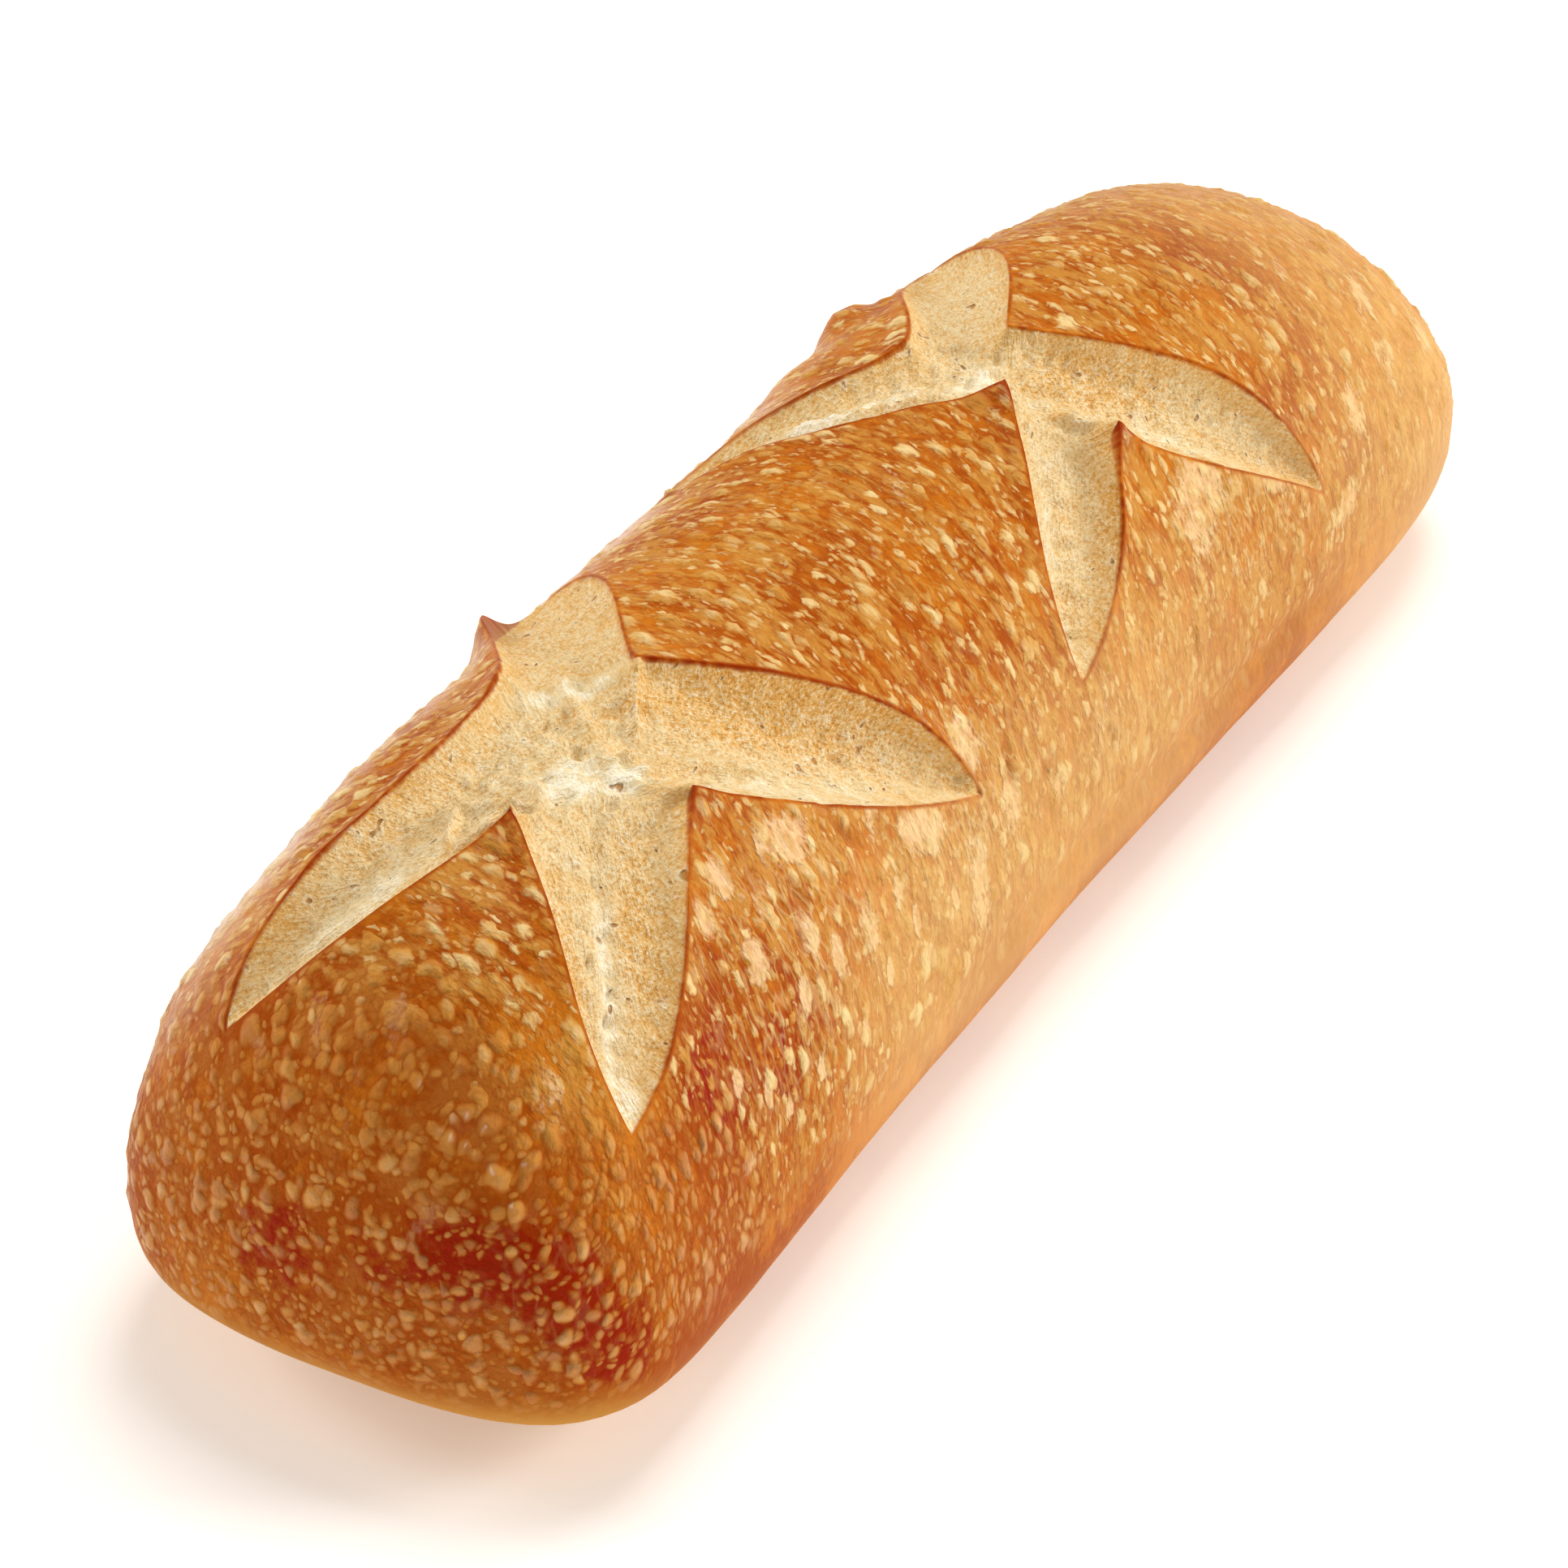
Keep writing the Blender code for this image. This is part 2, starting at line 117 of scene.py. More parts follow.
# Folds and pores of the crumb, in mm on the skin
crumbForms = {
    # path, rise and reach of a fold. One below zero is a furrow
    "folds": (
        (((-140, 0), (-133, -3), (-128, -8), (-121, -10), (-116, -7), (-112, -3)), 3.0, 1.1),
        (((-135, 3), (-130, 6), (-124, 8), (-121, 1), (-118, -6)), 2.2, 1.0),
        (((-101, -19), (-101, -23), (-101, -26), (-99, -28)), 1.7, 0.9),
        (((-79, -4), (-84, -7), (-88, -10), (-91, -13)), 2.4, 1.0),
        (((-98, -14), (-95, -16)), 2.6, 1.3),
        (((-77, 16), (-89, 6), (-96, -5), (-102, -17)), 1.5, 2.0),
        (((-102, -17), (-92, -22), (-84, -27), (-74, -36)), 1.3, 1.5),
        (((-101, -20), (-87, -29), (-73, -40), (-57, -52), (-44, -60)), -0.9, 1.8),
        (((-108, -16), (-116, -21), (-129, -34), (-137, -43), (-147, -50)), -1.2, 2.2),
        (((-126, 3), (-140, 9), (-152, 15), (-162, 24)), -0.9, 2.0),
        (((-30, 40), (8, 34), (17, 28), (21, 18), (25, 9), (31, 0), (37, -7)), 2.4, 1.4),
        (((46, -25), (48, -30), (52, -37), (60, -43), (70, -53)), 2.2, 1.2),
        (((46, -25), (49, -27)), 2.2, 1.6),
        (((38, -17), (40, -18)), 1.8, 1.5),
        (((49, 5), (52, 6)), 2.2, 1.2),
        (((46, -14), (57, -28), (70, -47), (88, -64)), -0.8, 2.2),
        (((36, -28), (27, -42), (18, -53), (11, -60)), -0.9, 2.0),
    ),
    # along, round, half length, half width, turn in degrees and depth of a pore
    "pores": (
        (-77, 16, 2.0, 1.0, 40, 1.0), (-79, 7, 1.4, 0.8, 10, 0.8), (-94, 2, 2.0, 1.2, 60, 1.1),
        (-101, -6, 2.2, 1.4, 80, 1.2), (-112, -10, 3.0, 1.5, 150, 1.5), (-107, -19, 1.6, 1.4, 0, 1.2),
        (-121, -3, 1.5, 0.8, 20, 0.9), (-57, -44, 3.4, 1.3, 120, 1.2), (-35, -60, 1.6, 1.1, 60, 0.8),
        (-122, -26, 1.3, 1.0, 60, 0.9), (-132, -29, 1.5, 0.9, 60, 0.9), (-128, -35, 1.8, 0.9, 50, 1.0),
        (-136, -35, 1.8, 1.2, 50, 1.0), (-135, -42, 1.4, 1.0, 40, 1.0), (-140, -44, 1.5, 1.0, 40, 1.0),
        (-98, 5, 1.3, 0.8, 30, 0.8), (-88, 10, 1.4, 0.8, 30, 0.8), (-72, 22, 1.3, 0.8, 40, 0.8),
        (-104, -1, 1.3, 0.9, 0, 0.8), (-110, -4, 1.5, 0.9, 120, 0.9), (-162, 24, 1.6, 1.2, 90, 1.2),
        (52, -1, 1.6, 1.0, 30, 1.0), (50, -6, 1.6, 1.0, 30, 1.0), (42, -4, 1.6, 0.9, 30, 0.9),
        (40, -10, 1.8, 1.0, 30, 1.0), (35, -3, 1.6, 0.8, 0, 0.9), (38, -22, 1.7, 1.2, 0, 1.1),
        (52, -30, 1.4, 0.8, 120, 0.8), (64, -48, 1.5, 0.9, 120, 0.9), (14, -59, 1.6, 1.2, 60, 1.1),
        (12, -60, 1.3, 1.0, 60, 1.0), (8, -61, 1.1, 0.9, 60, 0.9),
    ),
    # along, round, half length, half width, turn in degrees, and how pale, or tan below zero: partly the
    # crumb's own colour, partly painted shade on walls and painted highlights on ridges
    "tonesShadesAndHighlights": (
        (-62, -31, 34, 9, -42, -0.9), (-72, -44, 34, 6, -36, 0.7), (-44, -60, 9, 4, -40, 0.5),
        (-137, -42, 24, 3.2, 43, 0.7), (-149, -53, 7, 4, 43, 0.8), (-140, -31, 20, 4, 43, -0.6),
        (-122, -37, 22, 4.5, 43, -0.6), (-101, -18, 5, 4, 0, 1.2), (-88, 6, 16, 4, -42, 0.9),
        (-66, 30, 14, 8, 50, -0.1), (-132, 8, 14, 4, -35, 0.2), (-150, 18, 18, 4, -35, 0.6),
        (-107, -9, 10, 7, -30, 0.9), (-97, -15, 3, 3, 0, -0.6), (-86, -8, 9, 2, -35, -0.5),
        (41, -7, 10, 7, 0, 0.9), (20, 20, 26, 3, -48, 1.2), (62, -26, 24, 6, -46, -0.7),
        (66, -46, 26, 4, -46, 0.6), (26, -40, 18, 3, 50, 0.3), (12, -59, 6, 3, 50, 0.8),
        (34, -50, 16, 3, 48, -0.6), (47, -25, 3, 2, 0, -0.6),
    ),
    "lumpSize": 3.0,
    "lumpRise": 0.75,
}

# Ears past the far shoulder, the crease low on the long side, and gentle lumps, in mm
crustForms = {
    "ears": ((-61, 41, 5.0, 6.0), (63, 41, 4.6, 6.5), (44, 42, 2.0, 15.0)),
    "crease": {"round": -92.0, "start": -52.0, "end": 112.0, "fade": 20.0, "depth": 1.1, "reach": 2.6},
    "swagSize": (0.011, 0.022, 0.022),
    "swagRise": 0.00050,
    # torn flakes: along, round, half length, half width, turn in degrees and depth
    "scars": (
        (-73, -52, 4.5, 1.6, -60, 0.9), (-92, -53, 4.5, 1.9, 80, 0.9), (-96, -58, 4.0, 1.4, 60, 0.8),
        (-22, -65, 5.0, 1.8, 85, 0.9), (-75, -46, 2.5, 1.4, -20, 0.7), (-100, -46, 3.0, 1.6, 70, 0.7),
        (-29, -40, 4.0, 1.6, 60, 0.6), (-12, -71, 3.0, 1.4, 85, 0.7),
    ),
}

# Darker places of the crust, and paler ones below zero: along, round, reach and strength
bakedPlaces = (
    (-178, -52, 9, 0.9), (-172, -63, 8, 0.9), (-170, -77, 9, 0.9), (-168, -89, 8, 0.7),
    (-180, -46, 8, 0.6), (-183, 22, 9, 0.5), (-184, 42, 10, 0.5), (-183, -38, 7, 0.3),
    (-176, 10, 10, 0.2), (-182, -20, 10, 0.3), (-104, -64, 7, 0.45), (-119, -50, 6, 0.55),
    (-127, -57, 7, 0.7), (-115, -67, 8, 0.65), (-112, -75, 8, 0.55), (-131, -70, 8, 0.7),
    (-97, -70, 6, 0.5), (-108, -55, 5, 0.6), (-135, -60, 6, 0.7), (-85, -66, 5, 0.4),
    (-100, -84, 8, 0.2), (-70, -88, 10, 0.1), (-40, -90, 12, 0.1), (-5, -91, 12, 0.1),
    (30, -92, 12, 0.1), (-157, -50, 8, -0.4), (-158, -41, 8, -0.3), (-149, -57, 6, -0.3),
    (-165, -62, 8, -0.2), (30, -22, 12, 0.3), (109, -14, 13, 0.6), (112, -30, 9, 0.4),
    (116, -44, 8, 0.3), (116, -72, 8, 0.4), (94, -50, 6, 0.3), (150, -5, 12, 0.5), (150, -62, 14, -0.6),
    (135, 15, 10, 0.4), (-70, 25, 10, 0.25), (-93, -53, 4, 0.4), (-20, -40, 12, 0.35),
    (0, -30, 10, 0.3), (5, 5, 14, 0.3), (-60, 0, 12, 0.25), (-30, 15, 10, 0.3), (-140, 30, 12, 0.3),
    (-150, -10, 10, 0.2), (-40, 10, 14, -0.2), (-55, -72, 18, -0.4), (75, -78, 14, -0.3),
    (60, -52, 16, -0.4), (130, -52, 12, -0.6), (-20, -75, 16, -0.3), (20, -78, 12, -0.2),
    (100, -40, 8, -0.3),
)

# Pale films where the skin lifted: along, round, half length, half width, turn and strength
paleFilms = (
    (-48, -50, 12, 7, 10, 0.7), (-34, -56, 9, 6, 20, 0.8), (-24, -70, 9, 5, 80, 0.7),
    (-109, -55, 4.5, 3.5, 60, 1.0), (-106, -42, 4.5, 2.6, 70, 1.0), (-115, -44, 4, 2.2, 80, 1.0),
    (-63, -72, 3.4, 1.8, 80, 1.0), (-75, -75, 3, 1.6, 80, 1.0), (-61, -80, 3, 1.5, 85, 0.9),
    (-86, -79, 3.4, 1.6, 80, 1.0), (-50, -75, 3, 1.6, 85, 0.9), (-66, -66, 3.4, 2, 80, 0.9),
    (-118, -72, 3.4, 1.7, 75, 1.0), (-102, -78, 3.6, 1.6, 80, 1.0), (-92, -84, 3, 1.6, 85, 1.0),
    (-113, -78, 3, 1.5, 80, 1.0), (-125, -66, 3, 1.7, 70, 1.0), (-128, -78, 3.2, 1.7, 80, 1.0),
    (-94, -59, 5.5, 2.6, 90, 0.9), (-77, -65, 7, 4.5, 80, 0.7), (-89, -65, 4, 2.6, 70, 1.0),
    (-101, -65, 3.4, 2, 70, 1.0), (-87, -45, 9, 6, -20, 0.8), (-53, -61, 9, 5, -20, 1.0),
    (-106, -41, 5, 3.4, 70, 0.9), (-101, -50, 4, 2.5, 80, 0.7), (-66, -54, 6, 3, 60, 0.6),
    (-175, -3, 8, 3, 0, 0.5), (-161, -40, 9, 4, 40, 0.5), (-169, 8, 7, 3, 40, 0.6),
    (-171, 24, 5, 3, 60, 0.6), (-166, -8, 6, 3, 30, 0.6), (-182, 39, 4, 2.5, 90, 0.7),
    (-180, -33, 4, 3, 0, 0.7), (59, -56, 14, 9, 40, 0.8), (84, -58, 10, 6, 80, 0.7),
    (70, -72, 12, 5, 0, 0.5), (135, -58, 10, 5, 70, 0.6), (8, -72, 8, 4, 80, 0.5),
    (-10, -76, 8, 4, 80, 0.5), (-40, -78, 12, 5, 80, 0.8), (124, -30, 7, 4, 60, 0.6),
    (118, -62, 9, 4, 80, 0.8), (142, -42, 10, 4, 60, 0.7), (156, -58, 8, 4, 80, 0.8),
    (106, -78, 10, 4, 20, 0.8), (-119, 46, 9, 4, 60, 0.6), (-140, 53, 9, 5, 60, 0.6),
    (-91, 46, 8, 4, 60, 0.6), (-40, 2, 10, 3, 60, 0.4), (-20, -20, 9, 3, 70, 0.4),
    (0, -12, 8, 3, 60, 0.4), (95, 5, 9, 3, 70, 0.4),
)

# Where the skin shines and creases, with painted highlights along the creases: along, round, half length,
# half width, turn and strength
glossyPlaces = (
    (-100, -60, 36, 24, 0, 0.8), (-40, -62, 36, 22, 0, 0.9), (75, -62, 36, 18, 0, 0.8),
    (20, -72, 26, 12, 0, 0.6), (-172, -68, 14, 24, 0, 0.15),
    (-125, 52, 50, 14, 0, 0.8), (-60, 52, 30, 12, 0, 0.5),
)

# How finely the loaf is meshed
meshSizes = {
    "cellsAlong": 250,
    "cellsRound": 108,
    "cellsHigh": 42,
    "endRun": 0.031,  # metres over the skin that an end's rings take up
    "endPowers": (8.0, 5.0),  # rough squareness of the ends, to count that run
    "topAngle": math.radians(78),
    "sideAngle": math.radians(150),
    "sideGrowth": 1.2,  # cells grow towards the foot
    "crustStep": 1.12,  # mm, like all that follow
    "hiddenStep": 1.6,
    "hiddenFrom": 42,  # past this round from the crown, steps are wider
    "crumbStep": 0.68,
    "outlineStep": 0.8,
    "rows": (0.15, 0.50, -0.45),  # beside an outline, inside it where above zero
    "rowGap": 0.50,
    "rowThin": 0.50,
    "footStep": 7.0,
    "footEndStep": 7.0 / 3,
    "footEnd": 25,  # the finer steps are this long at each end
}


def swellAt(u, shares):
    gap = (u[..., None] - np.array(loafShape["stations"])) / loafShape["stationReach"]
    weight = np.exp(-0.5 * gap * gap)
    return (weight * np.array(shares)).sum(-1) / weight.sum(-1)


def endSize(u, powers):
    power = np.where(u < 0, powers[0], powers[1])
    return np.sqrt(np.clip(1 - np.abs(u) ** power, 0, 1))


def skinPoints(along, angle):
    # points of the plain loaf at a distance along and an angle round from the crown
    half = loafShape["length"] / 2
    waist = loafShape["waist"]
    u = np.clip(along / half, -1, 1)
    width = loafShape["width"] / 2 * (1 + swellAt(u, loafShape["planSwell"]))
    width = width * endSize(u, loafShape["planEnds"])
    crown = (loafShape["height"] - waist) * (1 + swellAt(u, loafShape["crownSwell"]))
    crown = crown * endSize(u, loafShape["crownEnds"])
    foot = loafShape["footCut"] * waist * endSize(u, loafShape["footEnds"])
    cosine = np.cos(angle)
    sine = np.sin(angle)
    power = 2 / np.where(cosine > 0, loafShape["crownPower"], loafShape["footPower"])
    y = width * np.sign(sine) * np.abs(sine) ** power
    y = y + loafShape["bow"] * (1 - u * u) + loafShape["skew"] * u
    z = waist + np.where(cosine > 0, crown, foot) * np.sign(cosine) * np.abs(cosine) ** power
    return np.stack((u * half, y, np.maximum(z, 0)), -1)


def skinNormals(along, angle):
    step = 0.0008
    turn = 0.02
    ahead = skinPoints(along + step, angle) - skinPoints(along - step, angle)
    across = skinPoints(along, angle + turn) - skinPoints(along, angle - turn)
    normal = np.cross(ahead, across)
    return normal / (np.linalg.norm(normal, axis=-1, keepdims=True) + 1e-12)


def onSkin(place):
    # points in metres for places in mm
    place = np.asarray(place, float)
    return skinPoints(place[..., 0] / 1000, place[..., 1] / 1000 / loafShape["girthRadius"])


def scoreSides(score):
    # eight runs of points in mm, each from one corner or tip to the next. The bulge of a
    # side comes to about the first swell in mm near its start, and the second near its end
    loop = [point for pair in zip(score["corners"], score["tips"]) for point in pair]
    t = np.linspace(0, 1, 40)[:, None]
    sides = []
    for number, (first, second) in enumerate(score["swell"]):
        start = np.array(loop[number], float)
        run = np.array(loop[(number + 1) % 8], float) - start
        outward = np.array((-run[1], run[0])) / np.hypot(*run)
        bulge = 6.75 * (first * t * (1 - t) ** 2 + second * t * t * (1 - t))
        sides.append(start + run * t + outward * bulge)
    return sides


def nearestOn(place, run):
    # distance to a run of points, and the share of the run at its nearest point
    gap = np.full(len(place), 1e9)
    share = np.zeros(len(place))
    steps = len(run) - 1
    for number in range(steps):
        start = run[number]
        step = run[number + 1] - start
        t = np.clip((place - start) @ step / (step @ step), 0, 1)
        distance = np.linalg.norm(place - start - t[:, None] * step, axis=1)
        closer = distance < gap
        gap = np.where(closer, distance, gap)
        share = np.where(closer, (number + t) / steps, share)
    return gap, share


def outlineGapOf(place, sides):
    return np.min([nearestOn(place, side)[0] for side in sides], axis=0)


def withinScore(place, sides, outlineGap):
    # a place on the outline counts as crust
    outline = np.concatenate([side[:-1] for side in sides])
    x, y = place.T
    inside = np.zeros(len(place), bool)
    for (x0, y0), (x1, y1) in zip(outline, np.roll(outline, -1, axis=0)):
        if y0 != y1:
            inside ^= ((y0 > y) != (y1 > y)) & (x < (x1 - x0) * (y - y0) / (y1 - y0) + x0)
    return inside & (outlineGap > scoreEdges["onLine"])


def evenSteps(side, step):
    runs = np.concatenate(((0,), np.cumsum(np.linalg.norm(np.diff(side, axis=0), axis=1))))
    count = max(2, round(runs[-1] / step))
    at = np.linspace(0, runs[-1], count + 1)[:-1]
    return np.stack((np.interp(at, runs, side[:, 0]), np.interp(at, runs, side[:, 1])), -1)


def rowBeside(sides, offset):
    # a row of points beside a score's outline: inside it where the offset is above zero
    rows = []
    for side in sides:
        points = evenSteps(side, meshSizes["outlineStep"])
        run = np.gradient(points, axis=0)
        inward = np.stack((run[:, 1], -run[:, 0]), -1) / np.linalg.norm(run, axis=1)[:, None]
        rows.append(points + inward * offset)
    row = np.concatenate(rows)
    gap = outlineGapOf(row, sides)
    kept = (withinScore(row, sides, gap) == (offset > 0)) & (gap > abs(offset) * 0.93)
    return row[kept]  # without those that come closer to another side


def staggered(low, high, step):
    # points a step apart over a rectangle, in offset rows that leave even triangles
    columns = np.arange(low[0], high[0], step)
    rows = []
    for number, y in enumerate(np.arange(low[1], high[1], step * 0.866)):
        rows.append(np.stack((columns + step / 2 * (number % 2), np.full_like(columns, y)), -1))
    points = np.concatenate(rows)
    return points[points[:, 0] < high[0]]


def smooth(value, low, high):
    t = np.clip((value - low) / (high - low), 0, 1)
    return t * t * (3 - 2 * t)


def hump(gap, reach):
    # 1 in the middle, and next to nothing at twice the reach
    return np.exp(-((gap / reach) ** 2))


def blankSurvey(count):
    names = ("relief", "crumb", "scorch", "corner", "deep", "edging", "outline")
    found = {name: np.zeros(count) for name in names}
    found["gap"] = np.full(count, scoreEdges["farGap"])
    found["grain"] = np.zeros((count, 3))
    return found


def crossGrain(place, score):
    # lengths along the two lines of the cross, which line a place is on, and its distance
    tips = np.array(score["tips"], float)
    lines = [line / np.hypot(*line) for line in (tips[0] - tips[2], tips[1] - tips[3])]
    offset = place - np.array(score["centre"], float)
    alongs = [offset @ line for line in lines]
    acrosses = [np.abs(offset @ np.array((-line[1], line[0]))) for line in lines]
    change = scoreEdges["grainChange"]
    which = smooth(acrosses[0] - acrosses[1], -change, change)
    return np.stack((*alongs, which), -1), np.linalg.norm(offset, axis=1)


def surveyScores(place):
    # what the scores do to each place: relief in mm, and the masks that the material reads
    found = blankSurvey(len(place))
    nearest = np.full(len(place), np.inf)
    tipScorch = scoreEdges["tipScorch"]
    for score in scores:
        sides = scoreSides(score)
        gaps, shares = np.array([nearestOn(place, side) for side in sides]).transpose(1, 0, 2)
        least = gaps.min(0)
        inside = withinScore(place, sides, least)
        reaches = [np.where(inside, *pair) for pair in scoreEdges["reaches"]]
        floor = np.ones(len(place))
        lip = np.zeros(len(place))
        crumb = np.ones(len(place))
        scorch = np.zeros(len(place))
        for number, (gap, share) in enumerate(zip(gaps, shares)):
            floor *= 1 - np.exp(-gap / score["wall"][number])
            fromCorner = share if number % 2 == 0 else 1 - share
            taper = np.sqrt(np.clip(1 - fromCorner**2, 0, 1))
            lip = np.maximum(lip, score["lip"][number] * taper * hump(gap, reaches[0]))
            crumb = np.minimum(crumb, gap / score["soften"][number] * scoreEdges["crumbRise"])
            dark = score["scorch"][number] * (tipScorch + (1 - tipScorch) * taper)
            scorch = np.maximum(scorch, dark * hump(gap - least, scoreEdges["scorchReach"]))
        for corner, peak, dark in zip(score["corners"], score["peaks"], score["peakScorch"]):
            gap = np.linalg.norm(place - np.array(corner), axis=1)
            lip = lip + peak * hump(gap, reaches[1])
            scorch = np.maximum(scorch, dark * hump(gap, scoreEdges["peakScorchReach"]))
            burnt = np.where(inside, 0, dark * hump(gap, scoreEdges["cornerReach"]))
            found["corner"] = np.maximum(found["corner"], burnt)
        found["relief"] += lip - np.where(inside, score["depth"] * floor, 0)
        edging = np.where(inside, 1.0, hump(least, scoreEdges["edgingReach"]))
        found["edging"] = np.maximum(found["edging"], edging)
        found["outline"] = np.maximum(found["outline"], least < scoreEdges["onLine"])
        grain, distance = crossGrain(place, score)
        close = inside | (least < found["gap"])
        for name, where, values in (
            ("crumb", inside, np.clip(crumb, 0, 1)),
            ("deep", inside, floor),
            ("scorch", close, scorch),
            ("gap", close, np.where(inside, -least, least)),
            ("grain", distance < nearest, grain),
        ):
            found[name][where] = values[where]
        nearest = np.minimum(nearest, distance)
    return found


def ovals(place, forms):
    # how far out each place is in each oval, where 1 is its edge, and the oval's last value
    for along, around, length, width, turn, value in forms:
        x, y = (place - np.array((along, around))).T
        cosine, sine = math.cos(math.radians(turn)), math.sin(math.radians(turn))
        yield np.hypot((x * cosine + y * sine) / length, (y * cosine - x * sine) / width), value


def painted(place, forms, low, high, join=np.maximum):
    # joins the values of some ovals, each of which fades out from low to high
    result = np.zeros(len(place))
    for inside, value in ovals(place, forms):
        result = join(result, value * (1 - smooth(inside, low, high)))
    return result


def crumbRelief(place):
    # folds, furrows, pores and lumps of the crumb, in mm
    relief = -painted(place, crumbForms["pores"], 0.45, 1.2, np.add)
    for path, rise, reach in crumbForms["folds"]:
        gap, share = nearestOn(place, np.array(path, float))
        ends = np.clip(np.minimum(share, 1 - share) * 6 + 0.35, 0, 1)
        relief += rise * ends * hump(gap, reach)
    lumps = np.zeros(len(place))
    for share in (1.0, 0.45):
        size = crumbForms["lumpSize"] * share
        lumps += share * np.array([noise.noise(Vector((x / size, y / size, 4.0))) for x, y in place])
    return relief + crumbForms["lumpRise"] * lumps


def earRelief(place, inside):
    relief = np.zeros(len(place))
    for along, around, rise, reach in crustForms["ears"]:
        relief += rise * hump(np.hypot(place[:, 0] - along, place[:, 1] - around), reach)
    return np.where(inside, 0, relief)


def creaseRelief(place):
    along, around = place.T
    crease = crustForms["crease"]
    fade = np.clip((along - crease["start"]) / crease["fade"], 0, 1)
    fade = fade * np.clip((crease["end"] - along) / crease["fade"], 0, 1)
    return -crease["depth"] * fade * hump(around - crease["round"], crease["reach"])


def noiseAt(points, size):
    return np.array([noise.noise(Vector(point)) for point in points / np.array(size)])


def meridianAt(steps):
    # shares of the half length at steps counted over the skin from the blunt end
    halves = []
    for power in meshSizes["endPowers"]:
        u = np.sin(np.linspace(0, math.pi / 2, 2000))
        radius = loafShape["width"] / 2 * np.sqrt(np.clip(1 - u**power, 0, 1))
        run = np.hypot(np.diff(u * loafShape["length"] / 2), np.diff(radius))
        halves.append((u, np.concatenate(((0,), np.cumsum(run)))))
    u = np.concatenate((-halves[0][0][::-1], halves[1][0][1:]))
    run = np.concatenate((-halves[0][1][::-1], halves[1][1][1:]))
    rings = meshSizes["cellsRound"] / 2
    marks = (0, rings, rings + meshSizes["cellsAlong"], 2 * rings + meshSizes["cellsAlong"])
    runs = (run[0], run[0] + meshSizes["endRun"], run[-1] - meshSizes["endRun"], run[-1])
    return np.interp(np.interp(steps, marks, runs), run, u)


nearlyOne = 0.9999  # a corner of the two-unit box past this is on one of its faces


def boxPlaces(corners):
    # turns corners of the box into places on the skin, in mm
    a, b, c = corners.T
    cellsAlong = meshSizes["cellsAlong"]
    rings = meshSizes["cellsRound"] / 2
    ring = np.maximum(np.abs(b), np.abs(c))
    step = np.where(a < -nearlyOne, ring * rings, rings + (a + 1) / 2 * cellsAlong)
    step = np.where(a > nearlyOne, cellsAlong + (2 - ring) * rings, step)
    u = meridianAt(step)
    b = b / np.maximum(ring, 1e-9)
    c = c / np.maximum(ring, 1e-9)
    top = meshSizes["topAngle"]
    side = meshSizes["sideAngle"]
    beside = top + ((1 - c) / 2) ** meshSizes["sideGrowth"] * (side - top)
    below = math.pi - np.abs(b) * (math.pi - side)
    turned = np.where(c > nearlyOne, np.abs(b) * top, np.where(c < -nearlyOne, below, beside))
    turned = turned * np.where(b < 0, -1, 1)
    half = loafShape["length"] / 2
    return np.stack((u * half, turned * loafShape["girthRadius"]), -1) * 1000


def addBand():
    # the sides and ends of a box in small cells, open above and below
    bpy.ops.mesh.primitive_cube_add(size=2)
    band = bpy.context.object
    band.name = "sourdoughLoaf"
    bpy.ops.object.mode_set(mode="EDIT")
    bpy.ops.mesh.select_mode(type="FACE")
    bpy.ops.mesh.select_all(action="DESELECT")
    cage = bmesh.from_edit_mesh(band.data)
    for face in cage.faces:
        face.select = abs(face.normal.z) > 0.5
    bmesh.update_edit_mesh(band.data)
    bpy.ops.mesh.delete(type="FACE")
    bpy.ops.mesh.select_mode(type="EDGE")
    for axis, name in enumerate(("cellsAlong", "cellsRound", "cellsHigh")):
        bpy.ops.mesh.select_all(action="DESELECT")
        cage = bmesh.from_edit_mesh(band.data)
        for edge in cage.edges:
            first, second = edge.verts
            edge.select = abs(first.co[axis] - second.co[axis]) > 1e-5
        bmesh.update_edit_mesh(band.data)
        bpy.ops.mesh.subdivide(number_cuts=meshSizes[name] - 1)
    bpy.ops.object.mode_set(mode="OBJECT")
    return band


def rimOf(corners, edges, up):
    # the corners round the top or the bottom of the band, and the edges between them
    rim = np.flatnonzero(corners[:, 2] * up > nearlyOne)
    numberOf = {int(vertex): number for number, vertex in enumerate(rim)}
    links = [(numberOf[a], numberOf[b]) for a, b in edges if a in numberOf and b in numberOf]
    return rim, links


def patch(fixed, links, free):
    # triangles over the fixed points and their edges, with free points between
    flat = [Vector(point) for point in np.concatenate((fixed, free))]
    found, _, faces, first, _, _ = geometry.delaunay_2d_cdt(flat, links, [], 1, 1e-6)
    places = np.array([tuple(point) for point in found])
    return places, faces, [names[0] if names else -1 for names in first]


def thinned(points, gap):
    # leaves out points that stand closer than the gap to an earlier one
    tree = kdtree.KDTree(len(points))
    for number, (x, y) in enumerate(points):
        tree.insert((x, y, 0), number)
    tree.balance()
    kept = np.ones(len(points), bool)
    for number, (x, y) in enumerate(points):
        if kept[number]:
            for _, other, _ in tree.find_range((x, y, 0), gap):
                if other > number:
                    kept[other] = False
    return points[kept]


